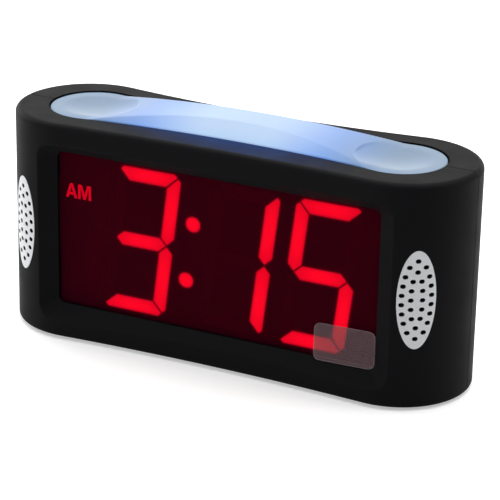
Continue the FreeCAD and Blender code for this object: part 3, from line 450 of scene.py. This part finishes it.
def bar_corners(name):
    """Corners of a bar (a top, b to f clockwise, g middle) in an upright figure, as x and z.

    Bars f and e mirror b and c left to right, and c, d and e mirror b, a and f top to bottom.
    """
    right_side = digit_width + bar_gap / 2
    left = -bar_gap / 2
    top = digit_height + bar_gap / 2
    middle = digit_height / 2
    half = (bar_width + bar_gap) / 2
    inner_right, inner_left, inner_top = right_side - 2 * half, left + 2 * half, top - 2 * half
    cut = bar_cut / 2
    if name in "ad":
        points = [(left + bar_cut, top), (right_side - bar_cut, top), (right_side - cut, top - cut),
                  (inner_right, inner_top), (inner_left, inner_top), (left + cut, top - cut)]
    elif name == "g":
        points = [(left + half, middle), (inner_left, middle + half), (inner_right, middle + half),
                  (right_side - half, middle), (inner_right, middle - half),
                  (inner_left, middle - half)]
    else:
        points = [(right_side, top - bar_cut), (right_side, middle + half),
                  (right_side - half, middle), (inner_right, middle + half),
                  (inner_right, inner_top), (right_side - cut, top - cut)]
    points = np.array(points)
    if name in "ef":
        points[:, 0] = digit_width - points[:, 0]
    if name in "cde":
        points[:, 1] = digit_height - points[:, 1]
    points[:, 0] += digit_slant * points[:, 1]
    return points


def drawn_in(points, distance):
    """A convex outline with every side moved inward: each new corner is where two of them meet."""
    turn = np.roll(points, -1, axis=0) - points
    area = np.cross(points, np.roll(points, -1, axis=0)).sum()
    normal = np.stack([-turn[:, 1], turn[:, 0]], axis=1) * np.sign(area)
    normal /= np.linalg.norm(normal, axis=1, keepdims=True)
    reach = (normal * points).sum(axis=1) + distance
    sides = np.stack([np.roll(normal, 1, axis=0), normal], axis=1)
    return np.linalg.solve(sides, np.stack([np.roll(reach, 1), reach], axis=1)[..., None])[..., 0]


print("corners of the top bar, mm:", np.round(bar_corners("a") / mm, 1).tolist())

# %% [markdown]
# A bar's outline is divided into many short steps, and each point is tied to the nearest point of
# the middle line. Moving along those ties gives the rings. The glow falls from the middle line to
# the edge, and from the middle of the bar to its two ends. A little light also creeps out of the
# bar into the reflector round it, so a paper-thin brim with a fading glow lies round each bar.

# %% Rings of light
outline_steps = 12
ring_shares = np.array([1.0, 0.94, 0.86, 0.74, 0.58, 0.4, 0.2, 0.0])
edge_glow = 0.58            # the middle line has a glow of 1
tip_glow = 0.6
face_lift = 0.03 * mm
brim_reach = np.array([0.0, 0.8, 0.35, 0.02]) * mm
brim_lift = np.array([0.002, 0.006, 0.02, 0.028]) * mm
brim_glow = np.array([0.0, 0.0, 0.06, 0.19])
shortest = 1e-9


def divided(points, steps):
    """A closed outline with each side cut into equal steps."""
    share = np.arange(steps) / steps
    following = np.roll(points, -1, axis=0)
    return (points[:, None] + (following - points)[:, None] * share[None, :, None]).reshape(-1, 2)


def light_block(outline, start, end, front, end_glow=tip_glow):
    """Points, faces and glow of a block whose front is rings from its outline to a middle line.

    The rows of the grid run from the middle of the back to its edge, forward to the front, out
    under the brim and back over it, and then ring by ring to the line from start to end. The
    glow falls with the fourth power of a ring's share and the square of the way to the ends.
    """
    along = end - start
    length = max(np.linalg.norm(along), shortest)
    share = np.clip((outline - start) @ along / length**2, 0, 1)
    spine = start + share[:, None] * along
    outward = (outline - spine) / np.linalg.norm(outline - spine, axis=1, keepdims=True)
    back_rows = np.stack([spine, outline])
    brim = outline + brim_reach[:, None, None] * outward
    rings = spine + ring_shares[:, None, None] * (outline - spine)
    plan = np.concatenate([back_rows, brim, rings])
    y = np.concatenate([[front + bar_depth] * 2, front - brim_lift,
                        [front - face_lift] * len(rings)])
    y = np.broadcast_to(y[:, None], plan.shape[:2])
    points = np.stack([plan[..., 0], y, plan[..., 1]], axis=-1)
    across = 1 - ring_shares**4
    lengthwise = 1 - (1 - end_glow) * (2 * share - 1) ** 2
    face_glow = edge_glow + (1 - edge_glow) * across[:, None] * lengthwise[None]
    rim_glow = np.concatenate([[0.0, 0.0], brim_glow])[:, None] * np.ones_like(share)
    faces = grid_faces(len(points), len(outline), closed=True)
    return points, faces, np.concatenate([rim_glow, face_glow])


def joined_blocks(name, blocks):
    """One piece from several blocks of points, faces and glow."""
    points = [block[0].reshape(-1, 3) for block in blocks]
    starts = np.cumsum([0] + [len(block) for block in points])
    faces = np.concatenate([block[1] + start for block, start in zip(blocks, starts)])
    glow = np.concatenate([block[2].ravel() for block in blocks])
    return new_piece(name, np.concatenate(points), faces.tolist(), crisp_angle=40, glow=glow)


print("rows of a bar:", 2 + len(brim_reach) + len(ring_shares))

# %% [markdown]
# The frame knows where each figure stands: the lower left corner of its box is the foot of the
# bar at its left side. Reading the place from the frame keeps the lit bars exactly on the solids
# that they stand for. Here the time is 3:15. The dots stand above each other with the slant of
# the figures. Their box is two radii and their distance high, and two radii and the slant's
# share of that distance wide, which gives the radius.

# %% Figures and dots
circle_points = 48


def figure_bars(names, left, foot, front):
    """Light blocks of one figure whose cell starts at left and foot."""
    blocks = []
    for name in names:
        corners = drawn_in(bar_corners(name), bar_gap / 2) + np.array([left, foot])
        middle = corners.mean(axis=0)
        reach = corners - middle
        direction = np.linalg.svd(reach)[2][0]
        half = np.abs(reach @ direction).max() - bar_width / 2
        blocks.append(light_block(divided(corners, outline_steps), middle - direction * half,
                                  middle + direction * half, front))
    return blocks


def cell_left(node, names):
    """Left edge of a figure's cell: the node's box less the same bars' own reach."""
    own = min(drawn_in(bar_corners(name), bar_gap / 2)[:, 0].min() for name in names)
    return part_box(node)[0][0] - own


bar_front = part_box("hour_bars")[0][1]
figure_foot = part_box("hour_bars")[0][2]
figures = {"hour_bars": "abcdg", "minute_tens_bars": "bc", "minute_units_bars": "acdfg"}
lit_pieces = {}
for node, names in figures.items():
    left_edge = cell_left(node, names)
    blocks = figure_bars(names, left_edge, figure_foot, bar_front)
    lit_pieces[node] = joined_blocks("lit_" + node, blocks)
    print(node, "cell starts at x", round(left_edge / mm, 2), "mm")

dot_low, dot_high = (np.array(corner)[[0, 2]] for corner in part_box("colon_dots"))
dots_wide, dots_high = dot_high - dot_low
dot_radius = (dots_high - dots_wide / digit_slant) / (2 - 2 / digit_slant)
turn = np.linspace(0, 2 * np.pi, circle_points, endpoint=False)
circle = dot_radius * np.stack([np.cos(turn), np.sin(turn)], axis=1)
dot_blocks = [light_block(centre + circle, centre, centre, bar_front, end_glow=1.0)
              for centre in (dot_low + dot_radius, dot_high - dot_radius)]
lit_pieces["colon_dots"] = joined_blocks("lit_colon_dots", dot_blocks)
print("dot radius, mm:", round(dot_radius / mm, 2))

# %% [markdown]
# The two letters that tell morning from afternoon are cut in a thin dark mask over their light
# block. Each letter is an outline with a few corners, and a flat curve turns outlines, with or
# without a hole, into filled faces. The curve becomes a mesh before it is put in place.

# %% Morning letters
letter_a = [[(0.0, 0.0), (0.35, 1.0), (0.57, 1.0), (0.92, 0.0), (0.70, 0.0), (0.63, 0.21),
             (0.29, 0.21), (0.22, 0.0)], [(0.35, 0.39), (0.57, 0.39), (0.46, 0.76)]]
letter_m = [[(0.0, 0.0), (0.0, 1.0), (0.31, 1.0), (0.52, 0.36), (0.73, 1.0), (1.04, 1.0),
             (1.04, 0.0), (0.84, 0.0), (0.84, 0.74), (0.61, 0.0), (0.43, 0.0), (0.20, 0.74),
             (0.20, 0.0)]]
letter_height = 4.6 * mm
letter_width = 4.3 * mm
letter_pitch = 4.2 * mm
letter_glow = 0.6
mask_thickness = 0.03 * mm


def flat_letters(name, letters, left, foot, front):
    """Thin flat letters in the plane at front, each from loops in a unit square."""
    curve = bpy.data.curves.new(name, "CURVE")
    curve.dimensions = "2D"
    curve.fill_mode = "BOTH"
    curve.extrude = mask_thickness / 2
    loops = [(index * letter_pitch, loop) for index, letter in enumerate(letters)
             for loop in letter]
    for start, loop in loops:
        spline = curve.splines.new("POLY")
        spline.points.add(len(loop) - 1)
        spline.use_cyclic_u = True
        for point, (x, y) in zip(spline.points, loop):
            point.co = (start + x * letter_width, y * letter_height, 0, 1)
    shape = bpy.data.objects.new(name, curve)
    mesh = bpy.data.meshes.new_from_object(shape)
    bpy.data.objects.remove(shape)
    points = np.zeros(len(mesh.vertices) * 3)
    mesh.vertices.foreach_get("co", points)
    x, z, y = points.reshape(-1, 3).T
    faces = [list(face.vertices) for face in mesh.polygons]
    return np.stack([left + x, front + y, foot + z], axis=1), faces


mark_low, mark_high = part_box("am_mark")
letters_left = (mark_low[0] + mark_high[0]) / 2 - letter_width
letters_foot = (mark_low[2] + mark_high[2]) / 2 - letter_height / 2
letter_plane = bar_front - 2.5 * mask_thickness
letter_points, letter_faces = flat_letters("lit_am_letters", [letter_a, letter_m], letters_left,
                                           letters_foot, letter_plane)
lit_letters = new_piece("lit_am_letters", letter_points, letter_faces, crisp_angle=30,
                        glow=np.full(len(letter_points), letter_glow))
print("letters stand", round((bar_front - letter_plane) / mm, 3), "mm before the reflector")

# %% [markdown]
# The masks lie between the letters and their light block. Each is a plate 0.03 mm thick that is
# a little larger than the block. Four corners are carried through four rows: the middle of the
# front, its edge, the edge of the back and its middle.

# %% Masks
mask_border = 0.6 * mm


def thin_plate(name, x_ends, y_ends, z_ends):
    """A thin upright plate: a ring of four corners, drawn in to its middle in front and behind."""
    ring = np.array([[x_ends[i], z_ends[j]] for i, j in ((0, 0), (1, 0), (1, 1), (0, 1))])
    middle = ring.mean(axis=0)
    rows = [np.insert(middle + share * (ring - middle), 1, y_ends[side], axis=1)
            for share, side in ((0, 0), (1, 0), (1, 1), (0, 1))]
    return closed_rows(name, np.stack(rows), crisp_angle=30)


mark_masks = []
for node, name in (("am_mark", "am_mask"), ("pm_mark", "pm_mask")):
    low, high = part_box(node)
    mark_masks.append(thin_plate(name, (low[0] - mask_border, high[0] + mask_border),
                                 (bar_front - 2 * mask_thickness, bar_front - mask_thickness),
                                 (low[2] - mask_border, high[2] + mask_border)))

# %% [markdown]
# One material lights all of these pieces. The glow value of each point blends it from the dark
# reflector's own colour to full light, so the brims fade out without an edge. The full light is
# a little orange and pink beside the pure red that the window lets through, because real diodes
# are never one pure colour.

# %% Light of the bars
bar_lit, lit_tree, lit_shader = new_material(
    "lit bars", Roughness=0.5, Specular_IOR_Level=0.1, Emission_Strength=1.0)
glow_value = lit_tree.nodes.new("ShaderNodeAttribute")
glow_value.attribute_name = "glow"
glow = glow_value.outputs["Fac"]
lit_mottle, lit_height = add_grain(lit_tree, 0.5 * mm, 3 * mm)
lit_base = blend_colours(lit_tree, lit_mottle, rgb(0.12, 0.003, 0.008), rgb(0.15, 0.004, 0.010))
feed(lit_tree, blend_colours(lit_tree, glow, rgb(0.0102, 0.0012, 0.0045), lit_base),
     lit_shader.inputs["Base Color"])
feed(lit_tree, blend_colours(lit_tree, glow, stray_light, rgb(0.99, 0.10, 0.12)),
     lit_shader.inputs["Emission Color"])
bump(lit_tree, lit_shader, lit_height, 0.004 * mm)
for piece in list(lit_pieces.values()) + [lit_letters]:
    piece.data.materials.append(bar_lit)
for piece in mark_masks:
    piece.data.materials.append(reflector_dark)
print("lit pieces:", len(lit_pieces) + 1)

# %% [markdown]
# ## The night-light lens
#
# The long lens on top is one moulding of milky plastic. A flat plate carries a finger pad at each
# end, and between the pads a crown arches along the clock and slopes down towards the front.
# Seen as a height over the plan, each of those is a simple surface: the crown is the lower of the
# arch and the slope, the lens is the higher of crown and plate, and a shallow ball is scooped out
# of it at each pad, where it ends in a low round step. Soft versions of lower and higher take the
# place of the plain ones, because a moulding has no knife-sharp creases.

# %% Height of the lens
rim_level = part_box("front_shell")[1][2]
lens_lobe = 13.6 * mm
lens_offset = 49.8 * mm
lens_waist = 9.7 * mm
lens_y = 0.3 * mm
waist_arc = (lens_offset**2 + lens_waist**2 - lens_lobe**2) / (2 * (lens_lobe - lens_waist))
front_centre = lens_y - lens_waist - waist_arc      # y of the middle of the front edge's arc
crown_rise = 3.05 * mm
crown_half_span = 44 * mm
slope_run = 8 * mm
pad_sink = 0.3 * mm
pad_radius = 12.9 * mm
pad_step_slope = 3.0
dish_radius = 9.5 * mm
dish_depth = 0.8 * mm
dish_ball = (dish_radius**2 + dish_depth**2) / (2 * dish_depth)
crease_softness = 0.08 * mm


def soft_lowest(surfaces):
    """The lowest of several heights, rounded where they cross: -s log(sum of exp(-h / s))."""
    stack = np.stack(np.broadcast_arrays(*surfaces))
    lowest = stack.min(axis=0)
    beyond = np.exp((lowest - stack) / crease_softness)
    return lowest - crease_softness * np.log(beyond.sum(axis=0))


def lens_height(x, y):
    """Height of the lens over the plan point x, y: the higher of crown and plate, less two dishes.

    A dish is the low side of a ball. Past the pad's radius it turns up in a steep step.
    """
    arch = rim_level + crown_rise * (1 - (x / crown_half_span) ** 2)
    from_front = np.hypot(x, y - front_centre) - waist_arc
    crown = soft_lowest([arch, rim_level + from_front * crown_rise / slope_run])
    plate = rim_level - pad_sink
    layers = [-soft_lowest([-crown, -plate])]
    for side in (-1, 1):
        distance = np.hypot(x - side * lens_offset, y - lens_y)
        ball = dish_ball - np.sqrt(dish_ball**2 - np.minimum(distance, pad_radius) ** 2)
        step = np.maximum(distance - pad_radius, 0) * pad_step_slope
        layers.append(plate - dish_depth + ball + step)
    return soft_lowest(layers)


middle_height = lens_height(0.0, lens_y) - rim_level
print("lens height over its middle, mm:", round(middle_height / mm, 2))

# %% [markdown]
# The plan of the lens is two round ends joined by arcs that pinch in at the middle. Every point
# of that outline is tied to the nearest point of the line between the two round ends. Rows of
# the grid run along those ties for the top, turn over a small rounding at the edge, go down the
# side to a flange that sits under the rim, and come back inside at the thickness of the wall.

# %% Rows of the lens
lens_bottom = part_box("night_light_lens")[0][2]
lens_wall = 1.8 * mm
flange_width = 1.0 * mm
flange_height = 1.2 * mm
flange_step = 0.2 * mm
edge_round = 0.5 * mm
lens_columns = 900
top_rows, round_rows, inner_rows = 36, 6, 13


def waisted_outline(count):
    """Plan outline, evenly stepped: two circles at the ends and the arcs that touch both."""
    lean = math.atan2(lens_offset, lens_waist + waist_arc)
    end_length = lens_lobe * 2 * (math.pi / 2 + lean)
    half_length = end_length + waist_arc * 2 * lean
    s = np.linspace(0, 2 * half_length, count, endpoint=False)
    second = s >= half_length
    s = np.where(second, s - half_length, s)
    on_end = s < end_length
    turn_end = -(math.pi / 2 + lean) + s / lens_lobe
    turn_arc = lean - (s - end_length) / waist_arc
    x = np.where(on_end, lens_offset + lens_lobe * np.cos(turn_end), waist_arc * np.sin(turn_arc))
    y = np.where(on_end, lens_lobe * np.sin(turn_end),
                 lens_waist + waist_arc - waist_arc * np.cos(turn_arc))
    flip = np.where(second, -1.0, 1.0)
    return x * flip, y * flip


def lens_rows():
    """Rows of x, y and z from the middle of the top, round the edge, to the middle inside.

    A row lies at an inset from the outline, either at a fixed height or at a drop below the top.
    """
    x, y = waisted_outline(lens_columns)
    spine = np.clip(x, -lens_offset, lens_offset)
    across = np.stack([x - spine, y])
    span = np.hypot(*across)
    direction = across / span
    rows = []

    def row(inset, height=None, drop=0.0):
        px = spine + direction[0] * (span - inset)
        py = lens_y + direction[1] * (span - inset)
        pz = lens_height(px, py) - drop if height is None else np.full_like(px, height)
        rows.append(np.stack([px, py, pz], axis=1))

    for share in np.linspace(0, 1, top_rows):
        row((span - edge_round) * (1 - share) + edge_round)
    for angle in np.linspace(0, math.pi / 2, round_rows + 1)[1:]:
        row(edge_round * (1 - math.sin(angle)), drop=edge_round * (1 - math.cos(angle)))
    flange_top = lens_bottom + flange_height
    for inset, height in ((0.0, flange_top + flange_step), (0.0, flange_top),
                          (-flange_width, flange_top), (-flange_width, lens_bottom),
                          (lens_wall, lens_bottom)):
        row(inset, height)
    inside = lens_wall + edge_round
    for share in np.linspace(0, 1, inner_rows + 1):
        row(inside + share * (span - inside), drop=lens_wall)
    return np.stack(rows)


lens_points = lens_rows()
lens = closed_rows("night_light_cover", lens_points, crisp_angle=50)
print("lens size, mm:", np.round(np.ptp(lens_points, axis=(0, 1)) / mm, 1))

# %% [markdown]
# Blue-white diodes shine through the milky plastic, most of all in the middle, and the finger
# pads at the ends stay nearly plain. The blue spreads further along the lens than the white, so
# two soft steps along X are added: each is full in the middle and gone at its own distance.
# The base colour is made a little darker and bluer towards its front edge: a painted shade where
# the slope faces away from the diodes.
#
# Blue light also leaks out low at the front and falls on the rim. It has passed through less of
# the milky plastic, so the rays that carry it see a much stronger blue there than the eye does.
# Light Path tells those rays apart.

# %% Milky plastic with light behind it
white_glow = (8 * mm, 33 * mm, rgb(0.24, 0.235, 0.04))
blue_glow = (22 * mm, 50 * mm, rgb(0.0, 0.068, 0.37))
leak_glow = (0 * mm, 50 * mm, rgb(0.0, 3.0, 16.0))
leak_depth = 7 * mm
# Painted shade: the lens's base colour is multiplied by this at its front edge.
front_painted_shade = rgb(0.72, 0.86, 1.0)
painted_shade_depth = 5 * mm

lens_blue, lens_tree, lens_shader = new_material(
    "milky lens", Specular_IOR_Level=0.12, Subsurface_Weight=0.2, Subsurface_Scale=1.0 * mm,
    Emission_Strength=1.0)
lens_mottle, lens_grain = add_grain(lens_tree, 0.5 * mm, 7 * mm)
milk = blend_colours(lens_tree, lens_mottle, rgb(0.174, 0.245, 0.340), rgb(0.197, 0.267, 0.361))
from_front = plan_distance(lens_tree, 0.0, front_centre)
behind_painted_shade = in_range(lens_tree, from_front, waist_arc, waist_arc + painted_shade_depth, 0.0, 1.0)
lens_painted_shade = blend_colours(lens_tree, behind_painted_shade, front_painted_shade, white)
feed(lens_tree, blend_colours(lens_tree, 1.0, milk, lens_painted_shade, blend="MULTIPLY"),
     lens_shader.inputs["Base Color"])
feed(lens_tree, drifting(lens_tree, lens_mottle, 0.28, 0.36), lens_shader.inputs["Roughness"])
bump(lens_tree, lens_shader, lens_grain, 0.004 * mm)


def glow_along(tree, full, gone, colour):
    """Colour of a glow that is full up to one distance from the middle and gone at another."""
    split = tree.nodes.new("ShaderNodeSeparateXYZ")
    feed(tree, place_in(tree), split.inputs[0])
    distance = calculate(tree, "ABSOLUTE", split.outputs["X"])
    share = in_range(tree, distance, full, gone, 1.0, 0.0, steps="SMOOTHSTEP")
    return blend_colours(tree, share, black, colour)


seen_glow = blend_colours(lens_tree, 1.0, glow_along(lens_tree, *white_glow),
                          glow_along(lens_tree, *blue_glow), blend="ADD")
behind_leak = in_range(lens_tree, from_front, waist_arc + leak_depth,
                       waist_arc + 2 * leak_depth, 0.0, 1.0)
leak = blend_colours(lens_tree, behind_leak, glow_along(lens_tree, *leak_glow), seen_glow)
lens_rays = lens_tree.nodes.new("ShaderNodeLightPath")
feed(lens_tree, blend_colours(lens_tree, lens_rays.outputs["Is Camera Ray"], leak, seen_glow),
     lens_shader.inputs["Emission Color"])
lens.data.materials.append(lens_blue)
print("the blue reaches", round((blue_glow[1] - white_glow[1]) / mm), "mm past the white")

# %% [markdown]
# ## The clear label
#
# A small see-through label with round corners is stuck to the lower right of the window and laps
# over the bevel below it. It is a rounded rectangle, a little turned. From its upper edge on the
# window it leans out to the frame's edge, and below that edge it follows the bevel. It carries no
# words. The cut edge of such a film catches the light, so its outermost narrow ring carries a
# mark, on which the material paints a brighter highlight.

# %% Shape of the label
label_width = 19.2 * mm
label_height = 11.4 * mm
label_corner = 2.0 * mm
label_turn = math.radians(1.3)
label_centre = np.array([42.4, 15.6]) * mm
label_thickness = 0.12 * mm
label_gap = 0.02 * mm
# The bright edge is a painted highlight for the light that the film's cut edge catches.
label_border = 0.97         # share of the way out at which the bright edge begins
corner_points, side_steps, label_rings = 7, 4, 16
window_bottom = 10.6 * mm
window_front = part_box("display_window")[0][1]
edge_front = window_front - 0.8 * mm
sheet_lean = math.radians(4.2)
bevel_lean = math.radians(40.2)
bend_radius = 0.5 * mm


def bent_sheet(along, up, lift):
    """Points of a sheet that leans from the window onto the edge below it and follows the bevel.

    Up is the height over that edge. Above the edge the sheet is flat and leans out by the sheet's
    lean. Past it the sheet turns towards the bevel on a small radius, and then runs straight down.
    Lift moves a point out from the surface.
    """
    turn_angle = bevel_lean - sheet_lean
    past = np.maximum(bend_radius - up, 0)
    turned = np.minimum(past / bend_radius, turn_angle)
    straight = np.maximum(past - turn_angle * bend_radius, 0)
    radius = bend_radius - lift
    out = bend_radius - radius * np.cos(turned) + straight * np.sin(turned)
    height = np.where(past > 0, bend_radius, up) - radius * np.sin(turned)
    height = height - straight * np.cos(turned)
    y = edge_front - out * math.cos(sheet_lean) + height * math.sin(sheet_lean)
    z = window_bottom + height * math.cos(sheet_lean) + out * math.sin(sheet_lean)
    return np.stack([along, y, z], axis=-1)


def rounded_rectangle():
    """Outline of the label, turned a little: four quarter circles with straight sides between."""
    quarter = np.linspace(0, math.pi / 2, corner_points)
    half = np.array([label_width, label_height]) / 2 - label_corner
    arcs = []
    for k, side in enumerate(((1, 1), (-1, 1), (-1, -1), (1, -1))):
        angle = quarter + k * math.pi / 2
        arcs.append(side * half + label_corner * np.stack([np.cos(angle), np.sin(angle)], axis=1))
    outline = divided(np.concatenate(arcs), side_steps)
    cos, sin = math.cos(label_turn), math.sin(label_turn)
    return outline @ np.array([[cos, sin], [-sin, cos]])


def make_label():
    """The rounded rectangle as rings from its middle to its outline, behind and then in front."""
    outline = rounded_rectangle()
    shares = np.append(np.linspace(0, label_border, label_rings), 1.0)
    rows, border = [], []
    for lift, order in ((label_gap, shares), (label_gap + label_thickness, shares[::-1])):
        for share in order:
            x, z = (label_centre + share * outline).T
            rows.append(bent_sheet(x, z - window_bottom, lift))
            border.append(np.full(len(outline), float(share > label_border)))
    return closed_rows("clear_label", np.stack(rows), crisp_angle=40, border=np.stack(border))


label = make_label()
print("label centre, mm:", np.round(label_centre / mm, 1))

# %% [markdown]
# The film is clear with a light grey bloom, so its alpha lets a good half of what is behind it
# through each face. Alpha suits a film that is too thin to bend light.

# %% Clear film
label_clear, label_tree, label_shader = new_material(
    "clear film", Specular_IOR_Level=0.25, IOR=1.45)
label_mottle, _ = add_grain(label_tree, 0.8 * mm, 5 * mm)
film = blend_colours(label_tree, label_mottle, rgb(0.170, 0.105, 0.118), rgb(0.198, 0.120, 0.134))
edge_highlight_mark = label_tree.nodes.new("ShaderNodeAttribute")
edge_highlight_mark.attribute_name = "border"
# Painted highlight: the label's outermost ring takes this brighter colour.
edge_painted_highlight = rgb(0.43, 0.39, 0.40)
feed(label_tree, blend_colours(label_tree, edge_highlight_mark.outputs["Fac"], film, edge_painted_highlight),
     label_shader.inputs["Base Color"])
feed(label_tree, drifting(label_tree, label_mottle, 0.30, 0.38), label_shader.inputs["Roughness"])
feed(label_tree, drifting(label_tree, label_mottle, 0.40, 0.44), label_shader.inputs["Alpha"])
label.data.materials.append(label_clear)
print("nodes in the film:", len(label_tree.nodes))

# %% [markdown]
# ## Finishes for the parts of the frame
#
# Every part that came with the frame takes the finish of its material slot, and the lit bars and
# the lens take the place of the plain solids that stood for them. A table from slot to finish is
# enough, because the record names each part's slot.

# %% Finish every part
finishes = {
    "casing_black": casing_black, "lens_blue": lens_blue, "window_red": window_red,
    "reflector_dark": reflector_dark, "bar_lit": bar_lit, "bar_unlit": bar_unlit,
    "grille_silver": grille_silver, "inner_white": inner_white, "board_green": board_green,
    "led_clear": led_clear, "chip_black": chip_black, "button_grey": button_black,
    "screw_steel": screw_steel, "core_iron": core_iron, "coil_copper": coil_copper,
    "cell_label": cell_sleeve, "foot_rubber": foot_rubber,
}
for entry in frame["record"]["subparts"]:
    mesh = nodes[entry["node"]].data
    mesh.materials.clear()
    mesh.materials.append(finishes[entry["material_slot"]])
print("finishes used:", len(finishes))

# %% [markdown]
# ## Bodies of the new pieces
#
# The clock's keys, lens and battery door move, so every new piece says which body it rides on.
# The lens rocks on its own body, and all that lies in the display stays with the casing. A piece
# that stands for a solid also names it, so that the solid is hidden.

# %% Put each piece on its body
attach(lens, "lens")
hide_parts("night_light_lens")
for node, piece in lit_pieces.items():
    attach(piece, "casing")
    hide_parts(node)
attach(lit_letters, "casing")
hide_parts("am_mark")
for piece in mark_masks:
    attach(piece, "casing")
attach(label, "casing")
print("new pieces:", 3 + len(lit_pieces) + len(mark_masks))

# %% [markdown]
# ## The studio
#
# The clock stands on a plain white floor that runs on without an edge. Straight views, mirrored
# ones and views through clear plastic all meet the same white, while the light that falls on the
# clock from the floor and the surroundings is much weaker. Light Path tells those rays apart.
# Near the clock a part of the floor's brightness comes from the lamps, so it keeps the shadow.
# Further out it is white by itself and merges with the background.

# %% Floor and surroundings
def seen_rays(tree):
    """1 for rays from the camera, off a shiny surface or through a clear one, and else 0."""
    path = tree.nodes.new("ShaderNodeLightPath").outputs
    seen = calculate(tree, "MAXIMUM", path["Is Camera Ray"], path["Is Glossy Ray"])
    return calculate(tree, "MAXIMUM", seen, path["Is Transmission Ray"])


floor_size = 3.0            # metres from the middle to each edge
shadow_reach = 0.3
floor_grey = rgb(0.85, 0.85, 0.85)
bounce_grey = rgb(0.25, 0.25, 0.25)
floor_own_light = 0.38
surround_light = 0.22

floor_corners = np.array([[-1, -1, 0], [1, -1, 0], [1, 1, 0], [-1, 1, 0]]) * floor_size
floor = new_piece("floor", floor_corners, [[0, 1, 2, 3]])
floor_white, floor_tree, floor_shader = new_material(
    "white floor", Roughness=0.9, Specular_IOR_Level=0.1, Emission_Color=white)
floor_seen = seen_rays(floor_tree)
far_away = in_range(floor_tree, plan_distance(floor_tree, 0.0, 0.0),
                    shadow_reach, 2 * shadow_reach, 0.0, 1.0)
seen_grey = blend_colours(floor_tree, far_away, floor_grey, black)
feed(floor_tree, blend_colours(floor_tree, floor_seen, bounce_grey, seen_grey),
     floor_shader.inputs["Base Color"])
own_light = in_range(floor_tree, far_away, 0.0, 1.0, floor_own_light, 1.0)
feed(floor_tree, calculate(floor_tree, "MULTIPLY", own_light, floor_seen),
     floor_shader.inputs["Emission Strength"])
floor.data.materials.append(floor_white)

world = bpy.data.worlds.new("studio")
bpy.context.scene.world = world
world.use_nodes = True
surround = world.node_tree.nodes["Background"]
surround.inputs["Color"].default_value = white
feed(world.node_tree, in_range(world.node_tree, seen_rays(world.node_tree), 0.0, 1.0,
                               surround_light, 1.0), surround.inputs["Strength"])
print("surroundings give", surround_light, "of white as light")

# %% [markdown]
# Black plastic shows little but what it mirrors, so the lamps matter as much as the finish. A
# wide soft lamp above lights the top, a low strip behind draws the sheen on the far rim, one at
# each side shapes the round ends, and a wide one in front fills the shadows. Each lamp is turned
# to face the clock, and the camera doesn't see it.

# %% Lamps
steep = 0.9


def soft_lamp(name, place_mm, aim_mm, size_mm, watts):
    """A rectangular lamp at a place, turned so that it faces the point it is aimed at."""
    data = bpy.data.lights.new(name, "AREA")
    data.shape = "RECTANGLE"
    data.size, data.size_y = size_mm[0] * mm, size_mm[1] * mm
    data.energy = watts
    lamp = bpy.data.objects.new(name, data)
    bpy.context.collection.objects.link(lamp)
    towards = np.array(place_mm, float) - np.array(aim_mm, float)
    towards /= np.linalg.norm(towards)
    side = np.cross([0.0, 1.0, 0.0] if abs(towards[2]) > steep else [0.0, 0.0, 1.0], towards)
    side /= np.linalg.norm(side)
    lamp.matrix_world = facing_matrix([side, np.cross(towards, side), towards],
                                      np.array(place_mm) * mm)
    lamp.visible_camera = False
    print(name, "gives", watts, "W")


soft_lamp("top_lamp", (0, 200, 900), (0, 0, 40), (1300, 900), 11.0)
soft_lamp("back_lamp", (-350, 800, 170), (0, 0, 60), (1600, 320), 1.95)
soft_lamp("left_lamp", (-700, 150, 300), (0, 0, 40), (550, 800), 3.2)
soft_lamp("right_lamp", (700, 230, 300), (0, 0, 40), (320, 700), 1.7)
soft_lamp("front_lamp", (-480, -850, 260), (0, 0, 30), (1400, 500), 3.75)

scene = bpy.context.scene
scene.view_settings.view_transform = "Standard"
